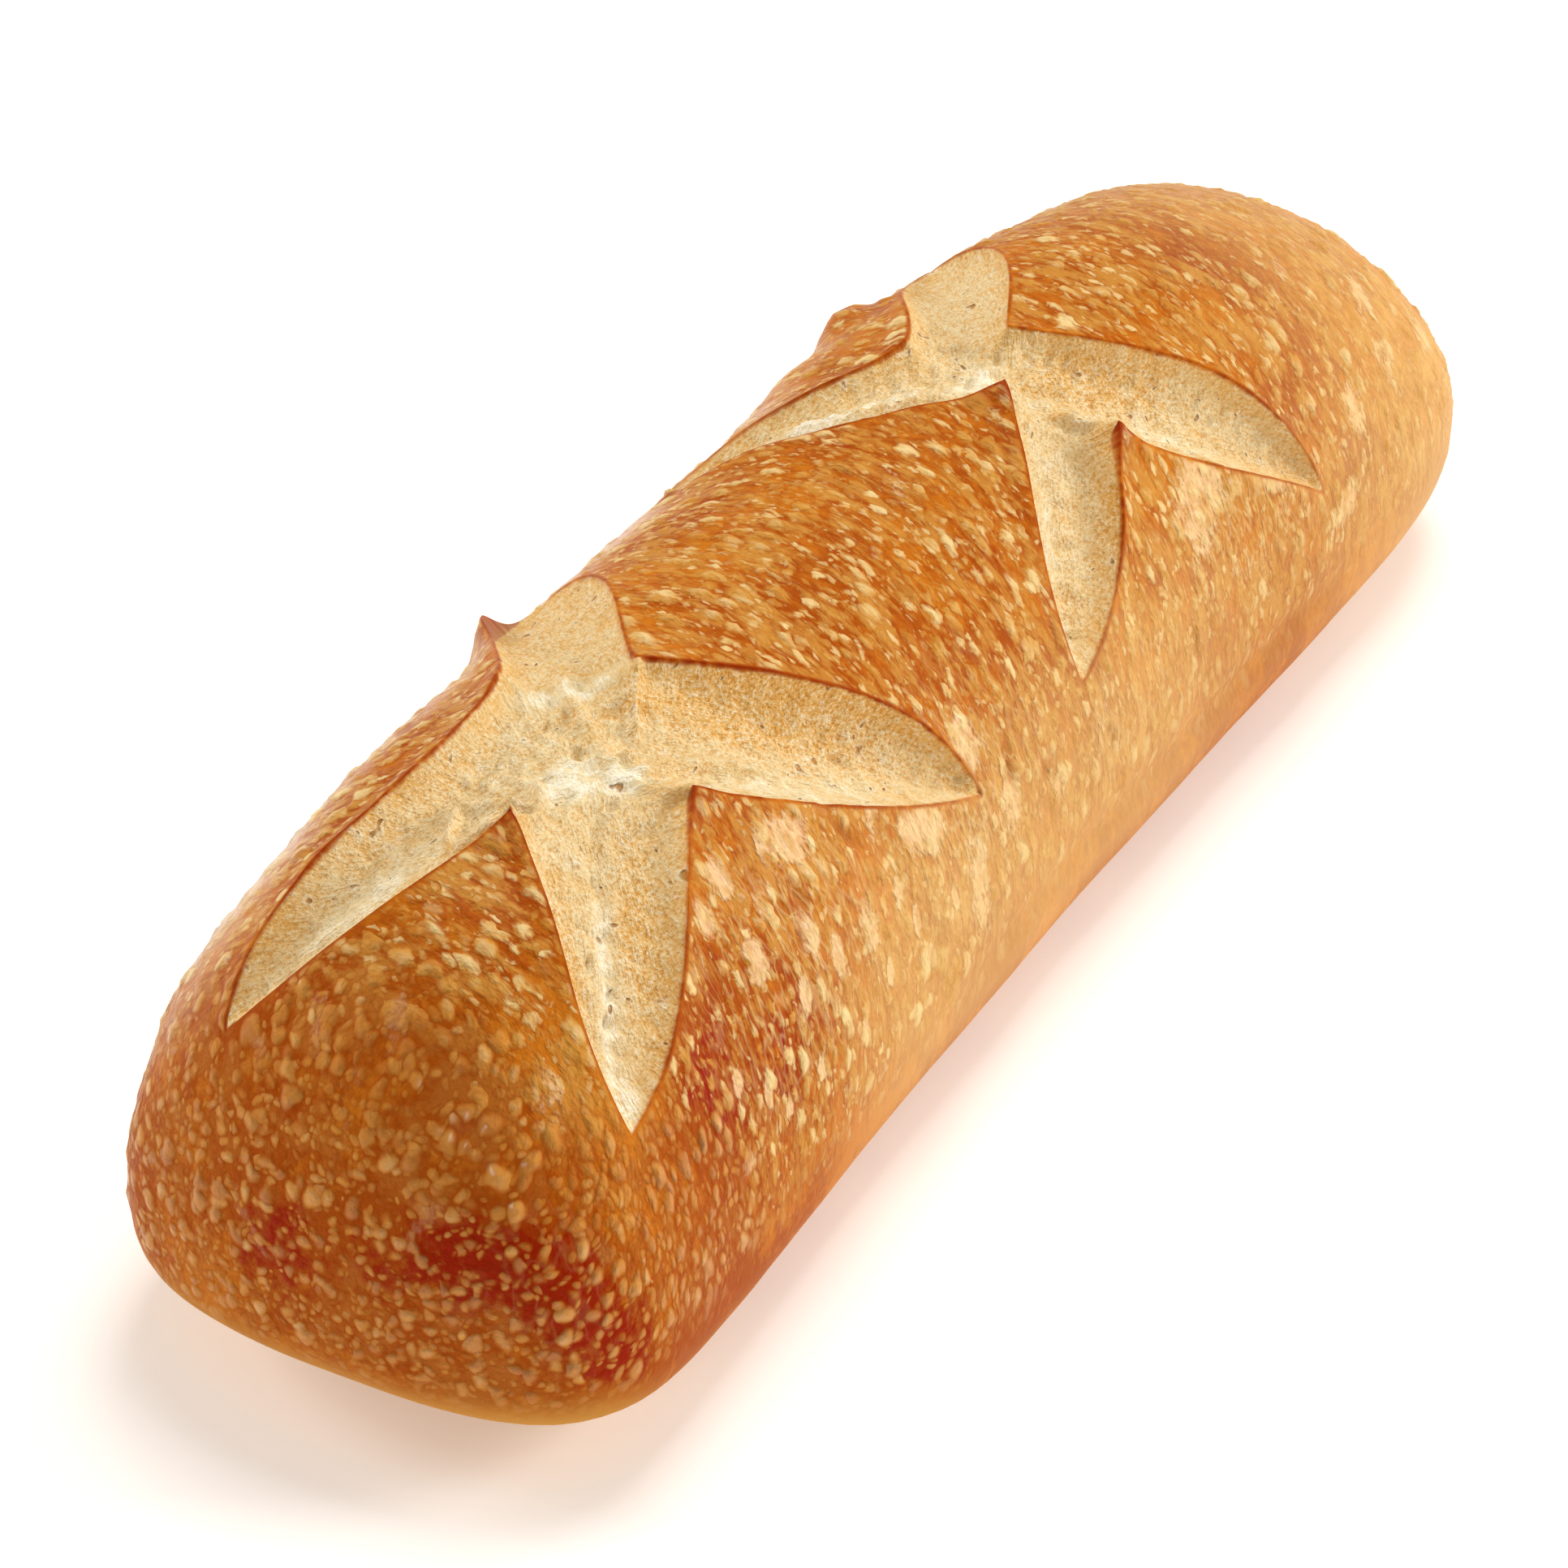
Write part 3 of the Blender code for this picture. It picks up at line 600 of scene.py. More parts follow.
def crownPatch(rim, links):
    # the crown in triangles, with finer ones inside the scores and rows along their edges
    fixed = [rim]
    links = list(links)
    count = len(rim)
    low = rim.min(0) + meshSizes["crustStep"] * 0.6
    high = rim.max(0) - meshSizes["crustStep"] * 0.6
    hidden = meshSizes["hiddenFrom"]
    lattices = [
        staggered(low, (high[0], hidden), meshSizes["crustStep"]),
        staggered((low[0], hidden + 1.2), high, meshSizes["hiddenStep"]),
    ]
    free = np.concatenate(lattices)
    rows = []
    for score in scores:
        sides = scoreSides(score)
        loop = np.concatenate([evenSteps(side, meshSizes["outlineStep"]) for side in sides])
        links += [(count + n, count + (n + 1) % len(loop)) for n in range(len(loop))]
        fixed.append(loop)
        count += len(loop)
        gap = outlineGapOf(free, sides)
        clear = meshSizes["rowGap"] + meshSizes["crustStep"] * 0.55
        free = free[(gap > clear) & ~withinScore(free, sides, gap)]
        inner = staggered(loop.min(0), loop.max(0), meshSizes["crumbStep"])
        gap = outlineGapOf(inner, sides)
        clear = meshSizes["rowGap"] + meshSizes["crumbStep"] * 0.6
        rows.append(inner[(gap > clear) & withinScore(inner, sides, gap)])
        for offset in meshSizes["rows"]:
            rows.append(thinned(rowBeside(sides, offset), meshSizes["rowThin"]))
    return patch(np.concatenate(fixed), links, np.concatenate([free, *rows]))


def spotsOf(points):
    # places for the blister pattern, in mm. Away from the blunt end it is finer along the
    # loaf and wider round it, which draws the blisters out
    x = points[:, 0] * 1000 + loafShape["length"] * 500
    order = np.linspace(0, 400, 801)
    steps = np.diff(order) * (1.0 + 0.35 * smooth(order[1:], 10, 32))
    total = np.concatenate(((0,), np.cumsum(steps)))
    drawn = 1.0 - 0.22 * smooth(x, 10, 36)
    return np.stack((np.interp(x, order, total), *(points[:, 1:].T * 1000 * drawn)), -1)


# Where the looks of the crust come in: from, to and how strongly, in mm along the loaf,
# round it to one side or the other, or up from the foot
crustZones = {
    "pastNearEnd": (-172, -150, 1.0),
    "blistersUp": (16, 34, 1.0),
    "nearBlistersUp": (15, 27, 1.0),
    "footUp": (3, 20, 1.0),
    "nearFootUp": (13, 25, 1.0),
    "beadySide": (40, 75, 1.0),
    "calmFarEnd": (60, 150, 0.8),
    "calmSide": (60, 85, 0.8),
    "calmAlong": (-60, 0, 1.0),
    "flank": (45, 80, 1.0),
    "flankAlong": (-110, -60, 1.0),
    "flankUp": (4, 20, 1.0),
    "flankFoot": (-150, -100, 0.65),
    "farFlank": (20, 80, 0.6),
    "farEnd": (80, 150, 0.8),
    # where the painted sheen goes: pale colour for light glancing off the far shoulder
    "farSide": (26, 46, 1.0),
    "sheenUp": (16, 44, 1.0),
    "sheenAlong": (-172, -140, 1.0),
    "earSheen": 0.75,  # how much of the sheen an ear takes away
    "beadyTo": (-160, -126),  # how far along the round blisters reach, on the crown and the side
    "beadyFade": (-10, 8),
}


def zone(name, value):
    low, high, strength = crustZones[name]
    return strength * smooth(value, low, high)


def zoneBetween(first, second, share, value):
    # part of the way from one zone to another
    low, high = (a + (b - a) * share for a, b in zip(crustZones[first][:2], crustZones[second][:2]))
    return smooth(value, low, high)


def crustMasks(place, plain):
    # where the crust baked darker, blistered, stayed pale or shines, and where a painted sheen goes
    along, around = place.T
    up = plain[:, 2]
    baked = np.zeros(len(place))
    for x, y, reach, strength in bakedPlaces:
        baked += strength * hump(np.linalg.norm(plain - onSkin((x, y)) * 1000, axis=1), reach)
    nearEnd = 1 - zone("pastNearEnd", along)
    under = 1 - zoneBetween("footUp", "nearFootUp", nearEnd, up)
    first, last = crustZones["beadyTo"]
    beadyTo = first + (last - first) * zone("beadySide", -around)
    rise, fall = crustZones["beadyFade"]
    side = zone("flank", -around) * zone("flankAlong", along) * (1 - zone("farFlank", along))
    # the painted sheen on the far shoulder, kept off the ears
    sheen = zone("farSide", around) * zone("sheenUp", up) * zone("sheenAlong", along)
    for x, y, _, reach in crustForms["ears"]:
        sheen *= 1 - crustZones["earSheen"] * hump(np.hypot(along - x, around - y), reach + 2)
    return {
        "baked": baked,
        "blister": zoneBetween("blistersUp", "nearBlistersUp", nearEnd, up),
        "under": under * (1 - zone("flankFoot", along) * zone("flank", -around)),
        "beady": 1 - smooth(along, beadyTo + rise, beadyTo + fall),
        "calm": np.maximum(zone("calmFarEnd", along), zone("calmSide", -around) * zone("calmAlong", along)),
        "side": side * zone("flankUp", up) + zone("farEnd", along),
        "sheen": sheen,
        "film": painted(place, paleFilms, 0.2, 1.5),
        "glossy": painted(place, glossyPlaces, 0.3, 1.2),
        "scar": painted(place, [(*scar[:5], 1.0) for scar in crustForms["scars"]], 0.5, 1.1),
        # the crumb's tan and pale places, partly painted shade and painted highlights
        "tone": painted(place, crumbForms["tonesShadesAndHighlights"], 0.2, 1.3, np.add),
    }


def setAttribute(mesh, name, values):
    kind, field = ("FLOAT_VECTOR", "vector") if values.ndim == 2 else ("FLOAT", "value")
    attribute = mesh.attributes.new(name, kind, "POINT")
    attribute.data.foreach_set(field, values.ravel())


def stitch(faces, rim, patched, count, order=1):
    # adds a patch's triangles to the loaf's faces, and returns its new points
    index = []
    added = []
    found, triangles, first = patched
    for point, name in zip(found, first):
        if 0 <= name < len(rim):
            index.append(int(rim[name]))
        else:
            index.append(count + len(added))
            added.append(point)
    faces += [tuple(index[vertex] for vertex in face[::order]) for face in triangles]
    return np.array(added)


def fromFoot(place):
    # counts the round length from the middle of the foot, or from the crown again
    along, around = place.T
    reach = math.pi * loafShape["girthRadius"] * 1000
    return np.stack((along, np.sign(around + 1e-9) * (reach - np.abs(around))), -1)


def footPatch(rim, links):
    step, endStep, end = (meshSizes[name] for name in ("footStep", "footEndStep", "footEnd"))
    low, high = rim.min(0), rim.max(0)
    middle = staggered(low + step / 2, high - step / 2, step)
    middle = middle[np.abs(middle[:, 0]) < high[0] - end - 1]
    ends = staggered(low + 1.5, high - 1.5, endStep)
    ends = ends[np.abs(ends[:, 0]) > high[0] - end + 1]
    return patch(rim, links, np.concatenate((middle, ends)))


def raisedPoints(place, plain, relief, crumb, bandCount):
    # the plain skin with its scores, crease, ears, torn flakes, crumb and waves
    inside = crumb > 0
    relief = relief + creaseRelief(place) - painted(place, crustForms["scars"], 0.3, 1.2, np.add)
    relief[bandCount:] += earRelief(place[bandCount:], inside[bandCount:])
    relief[inside] += crumb[inside] * crumbRelief(place[inside])
    normals = skinNormals(place[:, 0] / 1000, place[:, 1] / 1000 / loafShape["girthRadius"])
    calm = np.clip((plain[:, 2] - loafShape["waveFrom"]) / loafShape["waveFade"], 0, 1)
    waves = loafShape["waveRise"] * noiseAt(plain, loafShape["waveSize"])
    swags = crustForms["swagRise"] * noiseAt(plain + 0.5, crustForms["swagSize"]) * ~inside
    points = plain + normals * (relief / 1000 + (waves + swags) * calm)[:, None]
    points[:, 2] = np.maximum(points[:, 2], 0)
    return points


def shapeLoaf(loaf):
    mesh = loaf.data
    corners = np.array([tuple(vertex.co) for vertex in mesh.vertices])
    edges = [tuple(edge.vertices) for edge in mesh.edges]
    faces = [tuple(face.vertices) for face in mesh.polygons]
    place = boxPlaces(corners)
    bandCount = len(place)

    # the scored crown closes the top
    rim, links = rimOf(corners, edges, 1)
    added = stitch(faces, rim, crownPatch(place[rim], links), bandCount)
    place = np.concatenate((place, added))
    print("crown laid:", len(faces), "faces")

    # the relief, and all that the material reads
    survey = blankSurvey(len(place))
    for name, values in surveyScores(place[bandCount:]).items():
        survey[name][bandCount:] = values
    plain = onSkin(place)
    points = raisedPoints(place, plain, survey.pop("relief"), survey["crumb"], bandCount)
    onOutline = survey.pop("outline") > 0
    masks = {"spot": spotsOf(plain), **survey, **crustMasks(place, plain * 1000)}

    # the foot closes the underside
    rim, links = rimOf(corners, edges, -1)
    added = stitch(faces, rim, footPatch(fromFoot(place[rim]), links), len(points), -1)
    points = np.concatenate((points, onSkin(fromFoot(added)))) - np.array(loafShape["shift"])

    mesh.clear_geometry()
    mesh.from_pydata(points.tolist(), [], faces)
    onOutline = np.concatenate((onOutline, np.zeros(len(added), bool)))
    for edge in mesh.edges:
        edge.use_edge_sharp = bool(onOutline[edge.vertices[0]] and onOutline[edge.vertices[1]])
    for name, values in masks.items():
        foot = np.full((len(added), *values.shape[1:]), float(name == "under"))
        setAttribute(mesh, name, np.concatenate((values, foot)))
    mesh.polygons.foreach_set("use_smooth", [True] * len(mesh.polygons))
    print("loaf shaped:", sum(len(face) - 2 for face in faces), "triangles")


# The clouds that the looks are made of: scale, detail and roughness. The scales are to
# the mm, and from slow on to the metre
clouds = {
    "middle": (0.12, 2.0, 0.6),
    "quick": (0.55, 2.0, 0.6),
    "streak": (0.34, 3.0, 0.62),
    "wrinkle": (0.9, 2.0, 0.6),
    "folded": (0.34, 1.0, 0.5),
    "wobble": (0.30, 0.0, 0.5),
    "ragged": (0.85, 1.0, 0.6),
    "patchy": (0.22, 2.0, 0.5),
    "fibre": (1.7, 2.0, 0.65),
    "slow": (34.0, 1.0, 0.5),
    "crowd": (90.0, 0.0, 0.5),
    "blotch": (200.0, 2.0, 0.6),
    "strand": (330.0, 2.0, 0.6),
    "bend": (420.0, 0.0, 0.6),
    "edge": (700.0, 1.0, 0.5),
    "fine": (900.0, 1.0, 0.6),
    "sponge": (1450.0, 2.0, 0.7),
}


class Wire:
    # a socket of a node tree that takes part in Python arithmetic
    def __init__(self, tree, socket=None):
        self.tree = tree
        self.socket = socket

    def node(self, kind, settings=None, values=None, output=0):
        made = self.tree.nodes.new(kind)
        for name, value in (settings or {}).items():
            setattr(made, name, value)
        for name, value in (values or {}).items():
            if isinstance(value, Wire):
                self.tree.links.new(value.socket, made.inputs[name])
            else:
                made.inputs[name].default_value = value
        return Wire(self.tree, made.outputs[output] if len(made.outputs) else None)

    def other(self, output):
        return Wire(self.tree, self.socket.node.outputs[output])

    def maths(self, operation, *others):
        return self.node("ShaderNodeMath", {"operation": operation}, dict(enumerate(others)))

    def __add__(self, value):
        return self.maths("ADD", self, value)

    __radd__ = __add__

    def __sub__(self, value):
        return self.maths("SUBTRACT", self, value)

    def __rsub__(self, value):
        return self.maths("SUBTRACT", value, self)

    def __mul__(self, value):
        return self.maths("MULTIPLY", self, value)

    __rmul__ = __mul__

    def __truediv__(self, value):
        return self.maths("DIVIDE", self, value)

    def most(self, value):
        return self.maths("MAXIMUM", self, value)

    def least(self, value):
        return self.maths("MINIMUM", self, value)

    def ramp(self, low, high):
        # eases from 0 at low to 1 at high
        settings = {"interpolation_type": "SMOOTHSTEP"}
        return self.node("ShaderNodeMapRange", settings, {"Value": self, "From Min": low, "From Max": high})

    def vector(self, operation, *others):
        return self.node("ShaderNodeVectorMath", {"operation": operation}, dict(enumerate(others)))

    def scaled(self, value):
        return self.node("ShaderNodeVectorMath", {"operation": "SCALE"}, {0: self, "Scale": value})

    def split(self):
        made = self.node("ShaderNodeSeparateXYZ", None, {0: self})
        return made, made.other(1), made.other(2)

    def mixed(self, factor, first, second):
        return self.node("ShaderNodeMix", {"data_type": "RGBA"}, {0: factor, 6: first, 7: second}, 2)

    def noise(self, place, name, output=0):
        scale, detail, rough = clouds[name]
        values = {"Vector": place, "Scale": scale, "Detail": detail, "Roughness": rough}
        return self.node("ShaderNodeTexNoise", None, values, output)

    def cloud(self, place, name):
        # swings a little to both sides of 0
        return self.noise(place, name) - 0.5

    def ridge(self, sharpness):
        # 1 along the lines where this is 0
        return (1 - self.maths("ABSOLUTE", self) * sharpness).ramp(0.0, 1.0)

    def moved(self, name, reach):
        # this place, pushed about by a cloud
        push = self.vector("SUBTRACT", self.noise(self, name, "Color"), (0.5, 0.5, 0.5))
        return self.vector("ADD", self, push.scaled(reach))

    def drawn(self, share):
        # this place, with a pattern on it drawn out round the loaf
        return self.vector("MULTIPLY", self, (1.0, share, share))

    def named(self, name, isVector=False):
        # an attribute of the mesh, in a shader or in geometry nodes
        if self.tree.bl_idname == "GeometryNodeTree":
            kind = "FLOAT_VECTOR" if isVector else "FLOAT"
            return self.node("GeometryNodeInputNamedAttribute", {"data_type": kind}, {"Name": name})
        output = "Vector" if isVector else "Fac"
        return self.node("ShaderNodeAttribute", {"attribute_name": name}, None, output)


def rgb(red, green, blue):
    # a colour as it shows on a screen, from 0 to 255
    shares = (red / 255, green / 255, blue / 255)
    linear = [c / 12.92 if c <= 0.04045 else ((c + 0.055) / 1.055) ** 2.4 for c in shares]
    return (*linear, 1.0)


# Blisters, from the finest up: size of the cells in mm, the least and the most of a cell
# that one fills, how many cells hold one, its rise in mm, how much it covers, and a seed
blisterLayers = (
    (1.8, 0.30, 0.58, 0.80, 0.26, 0.66, 67.0),
    (2.8, 0.30, 0.60, 0.74, 0.46, 0.80, 31.0),
    (4.3, 0.26, 0.56, 0.74, 0.66, 0.90, 7.0),
    (6.4, 0.22, 0.46, 0.56, 0.90, 0.94, 0.0),
)


def blisters(wire):
    # for each layer its rise in mm, its cover and the ring round its foot where shade is painted, from 0 to
    # 1, and how pale each blister is, at random and paler towards its middle as a painted highlight
    beady = wire.named("beady")
    spot = wire.named("spot", True).moved("wobble", 2.2)
    spot = spot.moved("ragged", 1.7 - beady * 1.4)
    size = 1.0 - wire.named("baked").least(1.0).most(-0.4) * 0.16
    found = []
    for cellSize, small, large, share, rise, strength, seed in blisterLayers:
        shifted = wire.vector("ADD", spot, (seed,) * 3)
        values = {"Vector": shifted, "Scale": 1 / cellSize, "Randomness": 0.72}
        cell = wire.node("ShaderNodeTexVoronoi", None, values)
        chance, width, tone = cell.other("Color").split()
        present = chance.ramp(1 - share, 1.04 - share)
        filled = small + width * (large - small)
        inward = 1 - cell / (filled * (size + beady * (0.22 - cellSize * 0.06)))
        found.append((
            inward.ramp(-0.05, 0.80) * present * (0.3 + width * 0.7) * rise,
            inward.ramp(-0.06, 0.42) * present * (0.40 + tone * 0.60) * strength,
            # the ring round the foot, where the material paints shade
            inward.ramp(-0.30, 0.05) * present,
            # paler towards the middle: a painted highlight on the dome
            tone + inward * 0.6,
        ))
    return found


def raiseBlisters(loaf):
    group = bpy.data.node_groups.new("raiseBlisters", "GeometryNodeTree")
    group.interface.new_socket("Geometry", in_out="INPUT", socket_type="NodeSocketGeometry")
    group.interface.new_socket("Geometry", in_out="OUTPUT", socket_type="NodeSocketGeometry")
    wire = Wire(group)
    entry = wire.node("NodeGroupInput")
    rise = None
    for layerRise, *_ in blisters(wire):
        rise = layerRise if rise is None else rise.most(layerRise)
    amount = rise * wire.named("blister") * (1 - wire.named("edging")) * 0.001
    lift = wire.node("GeometryNodeInputNormal").scaled(amount)
    moved = wire.node("GeometryNodeSetPosition", None, {"Geometry": entry, "Offset": lift})
    wire.node("NodeGroupOutput", None, {0: moved})
    modifier = loaf.modifiers.new("blisters", "NODES")
    modifier.node_group = group
    bpy.ops.object.select_all(action="DESELECT")
    loaf.select_set(True)
    bpy.context.view_layer.objects.active = loaf
    bpy.ops.object.modifier_apply(modifier="blisters")
    bpy.data.node_groups.remove(group)
    print("blisters raised:", len(loaf.data.vertices), "points")


crustLook = {
    "golden": rgb(202, 116, 26),
    "browned": rgb(166, 74, 6),
    "deep": rgb(152, 32, 0),
    # painted shade round the foot of each blister
    "rim": rgb(156, 66, 2),
    "flake": rgb(218, 160, 70),
    "paleFlake": rgb(242, 214, 150),
    "bead": rgb(212, 126, 44),
    "scorched": rgb(146, 40, 2),
    "side": rgb(243, 204, 134),
    "under": rgb(206, 148, 66),
    "film": rgb(247, 205, 152),
    # a painted sheen, the pale light glancing off the far shoulder
    "sheen": rgb(246, 214, 166),
    "torn": rgb(184, 104, 34),
    "roughness": 0.42,
}
crumbLook = {
    "tan": rgb(230, 180, 102),
    "cream": rgb(238, 214, 163),
    # also the colour of the painted glints
    "white": rgb(255, 246, 220),
    "speck": rgb(206, 142, 60),
    # painted shade in the pores' hollows
    "pore": rgb(190, 122, 44),
    "roughness": 0.55,
}


def crustColour(wire, place, spot, quick):
    # browning, streaks and pale films, the blisters over them with painted shade and highlight, painted
    # highlights on the creases, a painted sheen on the far shoulder, and the foot
    look = crustLook
    baked = wire.named("baked")
    beady = wire.named("beady")
    shown = wire.named("blister") * (1 - wire.named("edging")).ramp(0.05, 0.5)
    middle = wire.cloud(spot, "middle")
    brown = 0.62 + wire.cloud(place, "slow") * 1.6 + middle * 2.0 + quick * 1.4 + baked * 0.55 + beady * 0.22
    colour = wire.mixed(brown.ramp(0.0, 1.0), look["golden"], look["browned"])
    veryDark = (baked + beady * 0.12 + middle * 1.4 + quick * 1.2).ramp(0.40, 1.0)
    colour = wire.mixed(veryDark, colour, look["deep"])
    streak = wire.cloud(spot.drawn(0.42), "streak") + middle * 0.9 - baked * 0.16
    streaked = streak.ramp(-0.08, 0.16) * (1 - beady * 0.7) * shown
    colour = wire.mixed(streaked * 0.6, colour, look["flake"])
    filmed = (wire.named("film") + middle * 0.8 + quick).ramp(0.38, 0.72) * shown * (1 - beady * 0.8)
    colour = wire.mixed(filmed * 0.80, colour, look["film"])
    wrinkle = wire.cloud(spot.drawn(0.30), "wrinkle").ramp(0.0, 0.16)
    colour = wire.mixed(wrinkle * filmed * 0.6, colour, look["paleFlake"])
    height = streaked * 0.15 + filmed * 0.25
    colour = wire.mixed(wire.named("side") * 0.30, colour, look["side"])
    fleck = quick * 1.2 + middle * 0.8 - beady * 0.50
    calm = 1 - wire.named("calm") * 0.45
    for rise, cover, rim, tone in blisters(wire):
        # painted shade: a darker ring round the foot of each blister, then its body, paler towards its
        # middle as a painted highlight
        colour = wire.mixed(rim * shown * (0.16 + beady * 0.10), colour, look["rim"])
        body = wire.mixed((tone + fleck).ramp(0.45, 1.45), look["flake"], look["paleFlake"])
        body = wire.mixed(beady * 0.45, body, look["bead"])
        colour = wire.mixed(cover * shown * calm, colour, body)
        height = height.most(rise * (0.50 + beady * 0.60))
    colour = wire.mixed(wire.named("scar") * 0.8, colour, look["torn"])
    colour = wire.mixed(wire.named("side") * 0.20, colour, look["side"])
    # painted highlights: pale thin crests where the skin shines and creases; the crests are raised in the
    # bump too
    crest = wire.cloud(spot.drawn(0.5), "folded").ridge(14) * wire.named("glossy")
    colour = wire.mixed(crest * 0.34 * shown, colour, look["paleFlake"])
    # painted sheen: a pale colour on the far shoulder for the light glancing off it; the same mask also adds
    # real coat
    sheen = wire.named("sheen") * (0.30 + middle * 0.8).most(0.0)
    colour = wire.mixed(sheen, colour, look["sheen"])
    colour = wire.mixed(wire.named("under"), colour, look["under"])
    return colour, height + crest * 0.16, veryDark


def crumbColour(wire, place):
    # fibres along each line of the cross, tan walls and a pale floor with painted shade and highlights among
    # them, small pores painted darker as shade, and painted glints
    look = crumbLook
    firstLine, secondLine, which = wire.named("grain", True).split()
    across = wire.node("ShaderNodeCombineXYZ", None, {0: firstLine * 0.16, 1: secondLine, 2: 0.0})
    along = wire.node("ShaderNodeCombineXYZ", None, {0: firstLine, 1: secondLine * 0.16, 2: 7.0})
    fibre = wire.cloud(across, "fibre") * (1 - which) + wire.cloud(along, "fibre") * which
    blotch = wire.cloud(place, "blotch")
    tone = wire.named("tone")
    # tan to cream: the crumb's own colour, with painted shade and highlights from the tone
    pale = 0.34 + wire.named("deep") * 0.42 + tone * 0.50 + blotch + fibre * 1.3
    colour = wire.mixed(pale.ramp(0.0, 1.0), look["tan"], look["cream"])
    web = wire.cloud(place, "strand").ridge(16)
    colour = wire.mixed((pale + web * 0.35 * tone).ramp(0.80, 1.50), colour, look["white"])
    hole = wire.node("ShaderNodeTexVoronoi", None, {"Vector": place.moved("bend", 0.004), "Scale": 330.0})
    chance, width, _ = hole.other("Color").split()
    inward = 1 - hole / (0.10 + width * 0.24)
    present = (chance + wire.cloud(place, "crowd") * 1.2).ramp(0.66, 0.72)
    pore = inward.ramp(0.0, 0.7) * present
    ring = inward.ramp(-0.9, -0.1) * present * (1 - pore)
    colour = wire.mixed(ring * 0.30, colour, look["white"])
    # painted shade: the pores' hollows are coloured darker
    colour = wire.mixed(pore * 0.85, colour, look["pore"])
    sponge = wire.cloud(place, "sponge")
    speckled = 0.15 + (0.45 - tone * 0.5).ramp(0.0, 0.9) * 0.75
    colour = wire.mixed((-0.02 - sponge).ramp(0.0, 0.12) * speckled, colour, look["speck"])
    # painted glints: bright specks over the crumb, most on the tan walls
    colour = wire.mixed((sponge - 0.04).ramp(0.0, 0.12) * (0.15 + speckled * 0.5), colour, look["white"])
    return colour, fibre * 0.5 + sponge * 0.45 + blotch * 0.7 - pore * 0.6


def bakedMaterial():
    material = bpy.data.materials.new("baked crust and crumb")
    material.use_nodes = True
    tree = material.node_tree
    tree.nodes.clear()
    wire = Wire(tree)
    place = wire.node("ShaderNodeTexCoord", None, None, "Object")
    spot = wire.named("spot", True)
    quick = wire.cloud(spot, "quick")
    crust, crustRise, veryDark = crustColour(wire, place, spot, quick)
    crumb, crumbRise = crumbColour(wire, place)

    # a thin burnt line with a faint halo follows each outline, and breaks up along it
    gap = wire.named("gap")
    ragged = gap.most(0.0) + gap.least(0.0) * 3.0 + quick * 0.7 + wire.cloud(place, "edge") * 0.4
    line = wire.maths("EXPONENT", ragged * ragged * -9.0)
    line = line * (0.15 + wire.cloud(spot, "patchy").ramp(-0.08, 0.10) * 0.85)
    halo = wire.maths("EXPONENT", ragged * ragged * -0.30) * gap.ramp(-0.3, 0.1)
    scorch = wire.named("scorch") * (line * 0.72 + halo * quick.ramp(-0.1, 0.15) * 0.25)
    opened = (0 - gap - quick * 0.2).ramp(0.0, 0.35)
    opened = opened * (0.5 + wire.named("crumb").ramp(0.0, 0.8) * 0.5)
    crust = wire.mixed(wire.named("corner") * quick.ramp(-0.16, 0.10) * 0.85, crust, crustLook["scorched"])
    colour = wire.mixed(scorch.least(0.92), wire.mixed(opened, crust, crumb), crustLook["scorched"])

    # the gloss sits on the raised blisters
    settled = wire.named("blister") * (1 - wire.named("edging"))
    shine = wire.named("glossy") * 0.30 + wire.named("beady") * 0.55
    coat = 0.02 + shine * crustRise.ramp(0.05, 0.35) + wire.named("sheen") * 0.6
    crustHeight = (crustRise + quick * 0.6) * settled + wire.cloud(place, "fine") * 0.14
    height = crustHeight * (1 - opened) + crumbRise * opened
    roughness = crustLook["roughness"] + wire.named("under") * 0.25 - veryDark * 0.1
    values = {
        "Base Color": colour,
        "Roughness": roughness * (1 - opened) + crumbLook["roughness"] * opened,
        "Normal": wire.node("ShaderNodeBump", None, {"Strength": 1.0, "Distance": 0.001, "Height": height}),
        "Specular IOR Level": 0.03,
        "Coat Weight": (1 - opened) * settled * coat,
        "Coat Roughness": 0.18,
    }
    shader = wire.node("ShaderNodeBsdfPrincipled", None, values)
    wire.node("ShaderNodeOutputMaterial", None, {"Surface": shader})
    return material


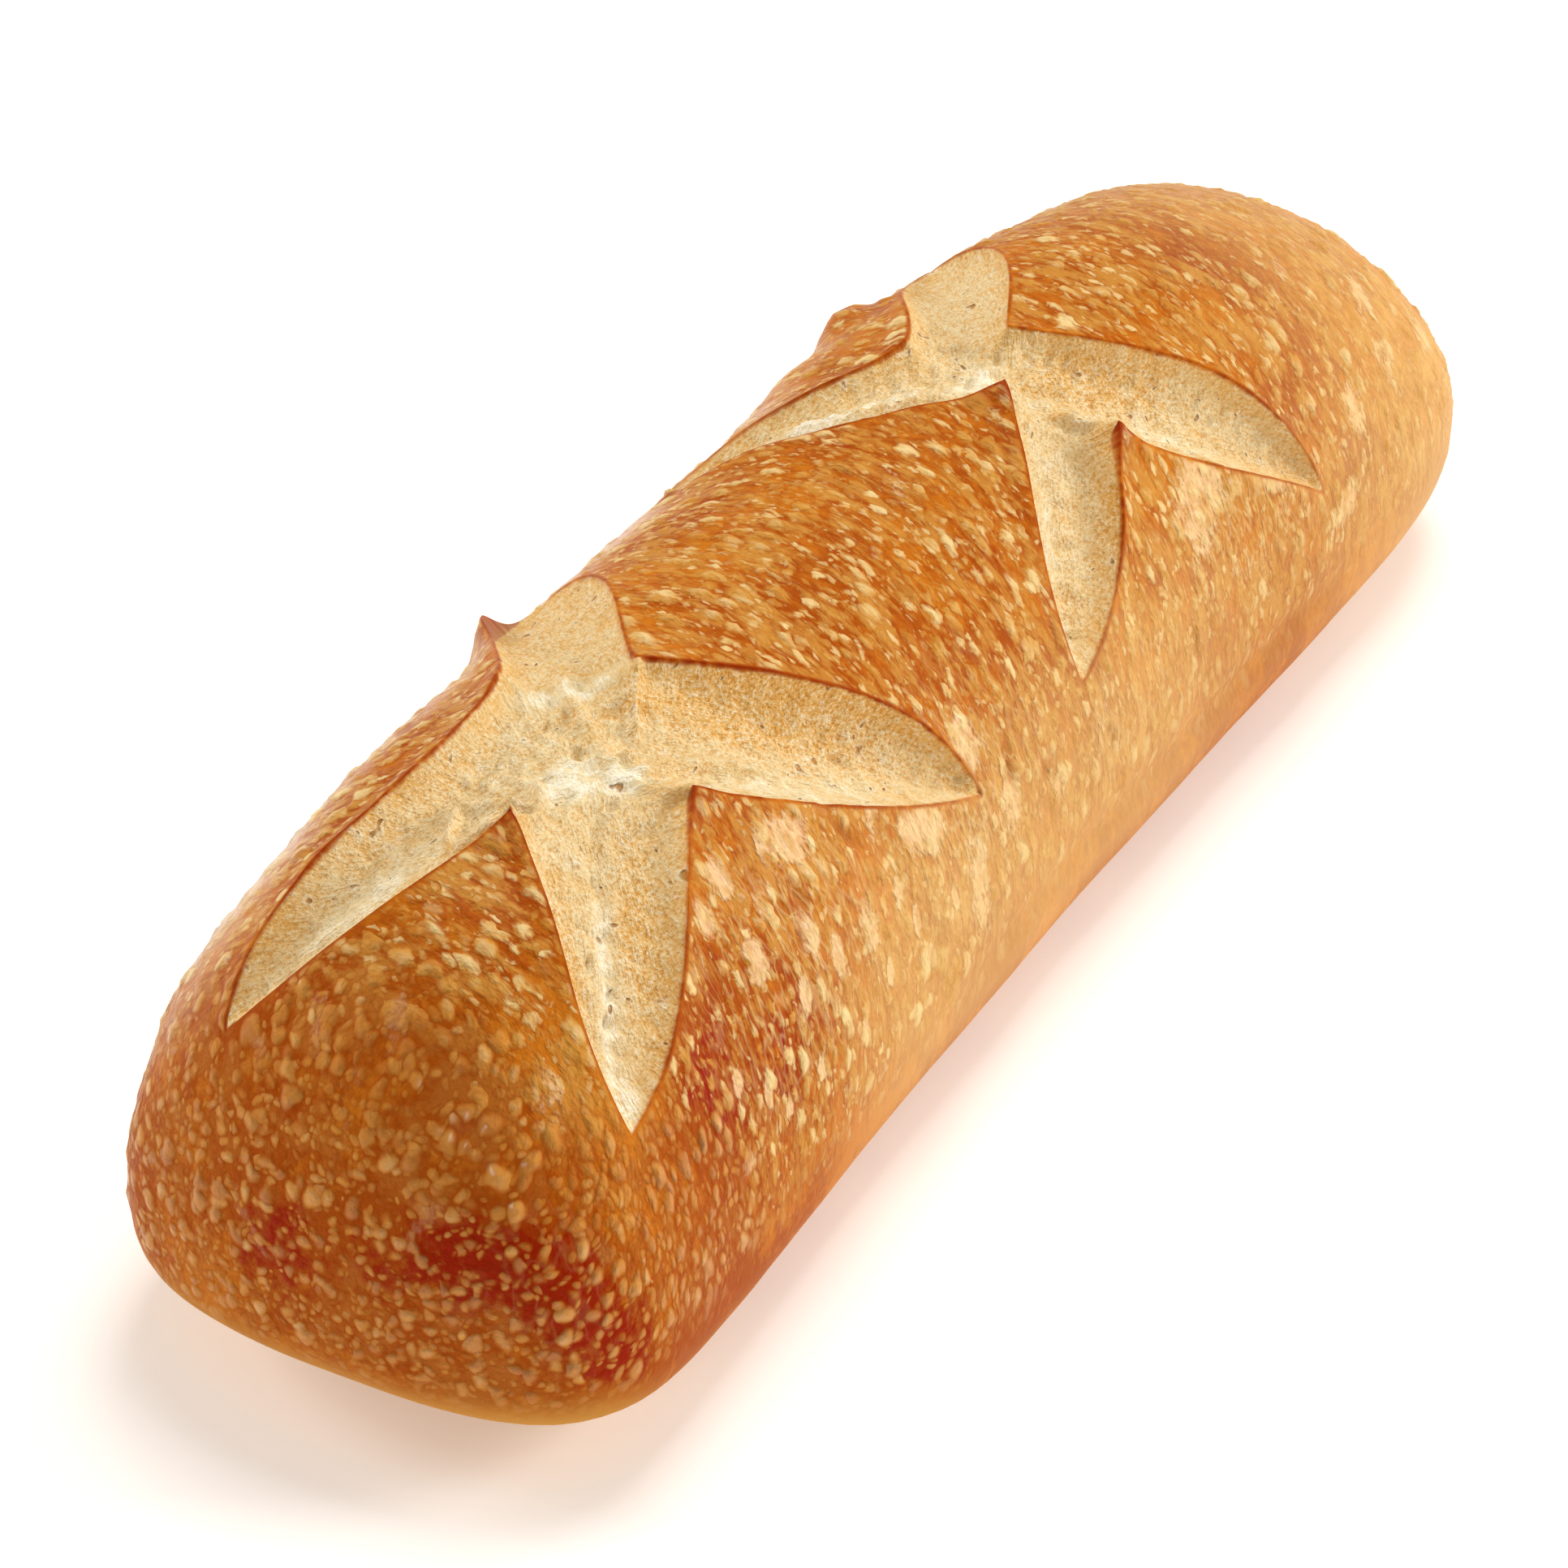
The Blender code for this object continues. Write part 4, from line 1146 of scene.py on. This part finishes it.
studio = {
    "azimuth": -60.8737,
    "elevation": 34.9996,
    "roll": 0.0606,
    "distance": 1.06515,
    "target": (-0.036004, -0.0066, 0.04485),
    "lens": 138.11,
    "floor": {
        "Base Color": rgb(246, 244, 240),
        "Roughness": 0.8,
        "Emission Color": (1.0, 0.95, 0.89, 1.0),
        "Emission Strength": 0.26,
    },
    "room": {"Color": (1.0, 0.985, 0.965, 1.0), "Strength": 0.30},
    # name, place, aim, size, power and colour
    "lamps": (
        ("front", (-2.40, -0.50, 1.30), (-0.1, 0, 0.04), 0.45, 7.0, (1.0, 0.97, 0.93)),
        ("top", (1.00, 0.10, 2.90), (0.0, 0, 0.03), 1.30, 48.0, (1.0, 0.99, 0.975)),
        ("right", (1.50, -2.30, 1.25), (0.0, 0, 0.04), 1.00, 49.0, (1.0, 0.985, 0.965)),
        ("left", (-0.45, 2.60, 1.30), (0.0, 0, 0.04), 1.00, 34.0, (1.0, 0.985, 0.975)),
    ),
}


def fill(owner, kind, values):
    # sets the inputs of the main node of a new material or world
    owner.use_nodes = True
    for name, value in values.items():
        owner.node_tree.nodes[kind].inputs[name].default_value = value


def makeStudio():
    scene = bpy.context.scene
    scene.view_settings.view_transform = "Standard"
    bpy.ops.mesh.primitive_plane_add(size=14.0)
    floor = bpy.context.object
    floor.name = "floor"
    paint = bpy.data.materials.new("pale floor")
    fill(paint, "Principled BSDF", studio["floor"])
    floor.data.materials.append(paint)
    scene.world = bpy.data.worlds.new("soft room")
    fill(scene.world, "Background", studio["room"])

    for name, place, aim, size, power, colour in studio["lamps"]:
        bpy.ops.object.light_add(type="AREA", location=place)
        lamp = bpy.context.object
        lamp.name = name
        lamp.data.size = size
        lamp.data.energy = power
        lamp.data.color = colour
        toward = Vector(aim) - Vector(place)
        lamp.rotation_euler = toward.to_track_quat("-Z", "Y").to_euler()

    azimuth, elevation, roll = (math.radians(studio[name]) for name in ("azimuth", "elevation", "roll"))
    turn = Matrix.Rotation(azimuth, 4, "Z") @ Matrix.Rotation(math.pi / 2 - elevation, 4, "X")
    bpy.ops.object.camera_add()
    camera = bpy.context.object
    camera.matrix_world = turn @ Matrix.Rotation(roll, 4, "Z")
    camera.location = Vector(studio["target"]) + turn.col[2].xyz * studio["distance"]
    camera.data.sensor_width = 36.0
    camera.data.lens = studio["lens"]
    camera.data.clip_end = 30.0
    scene.camera = camera
    print("studio ready")


makeStudio()
loaf = addBand()
shapeLoaf(loaf)
raiseBlisters(loaf)
loaf.data.materials.append(bakedMaterial())
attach(loaf, "root")
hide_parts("loaf")
print("loaf dressed")
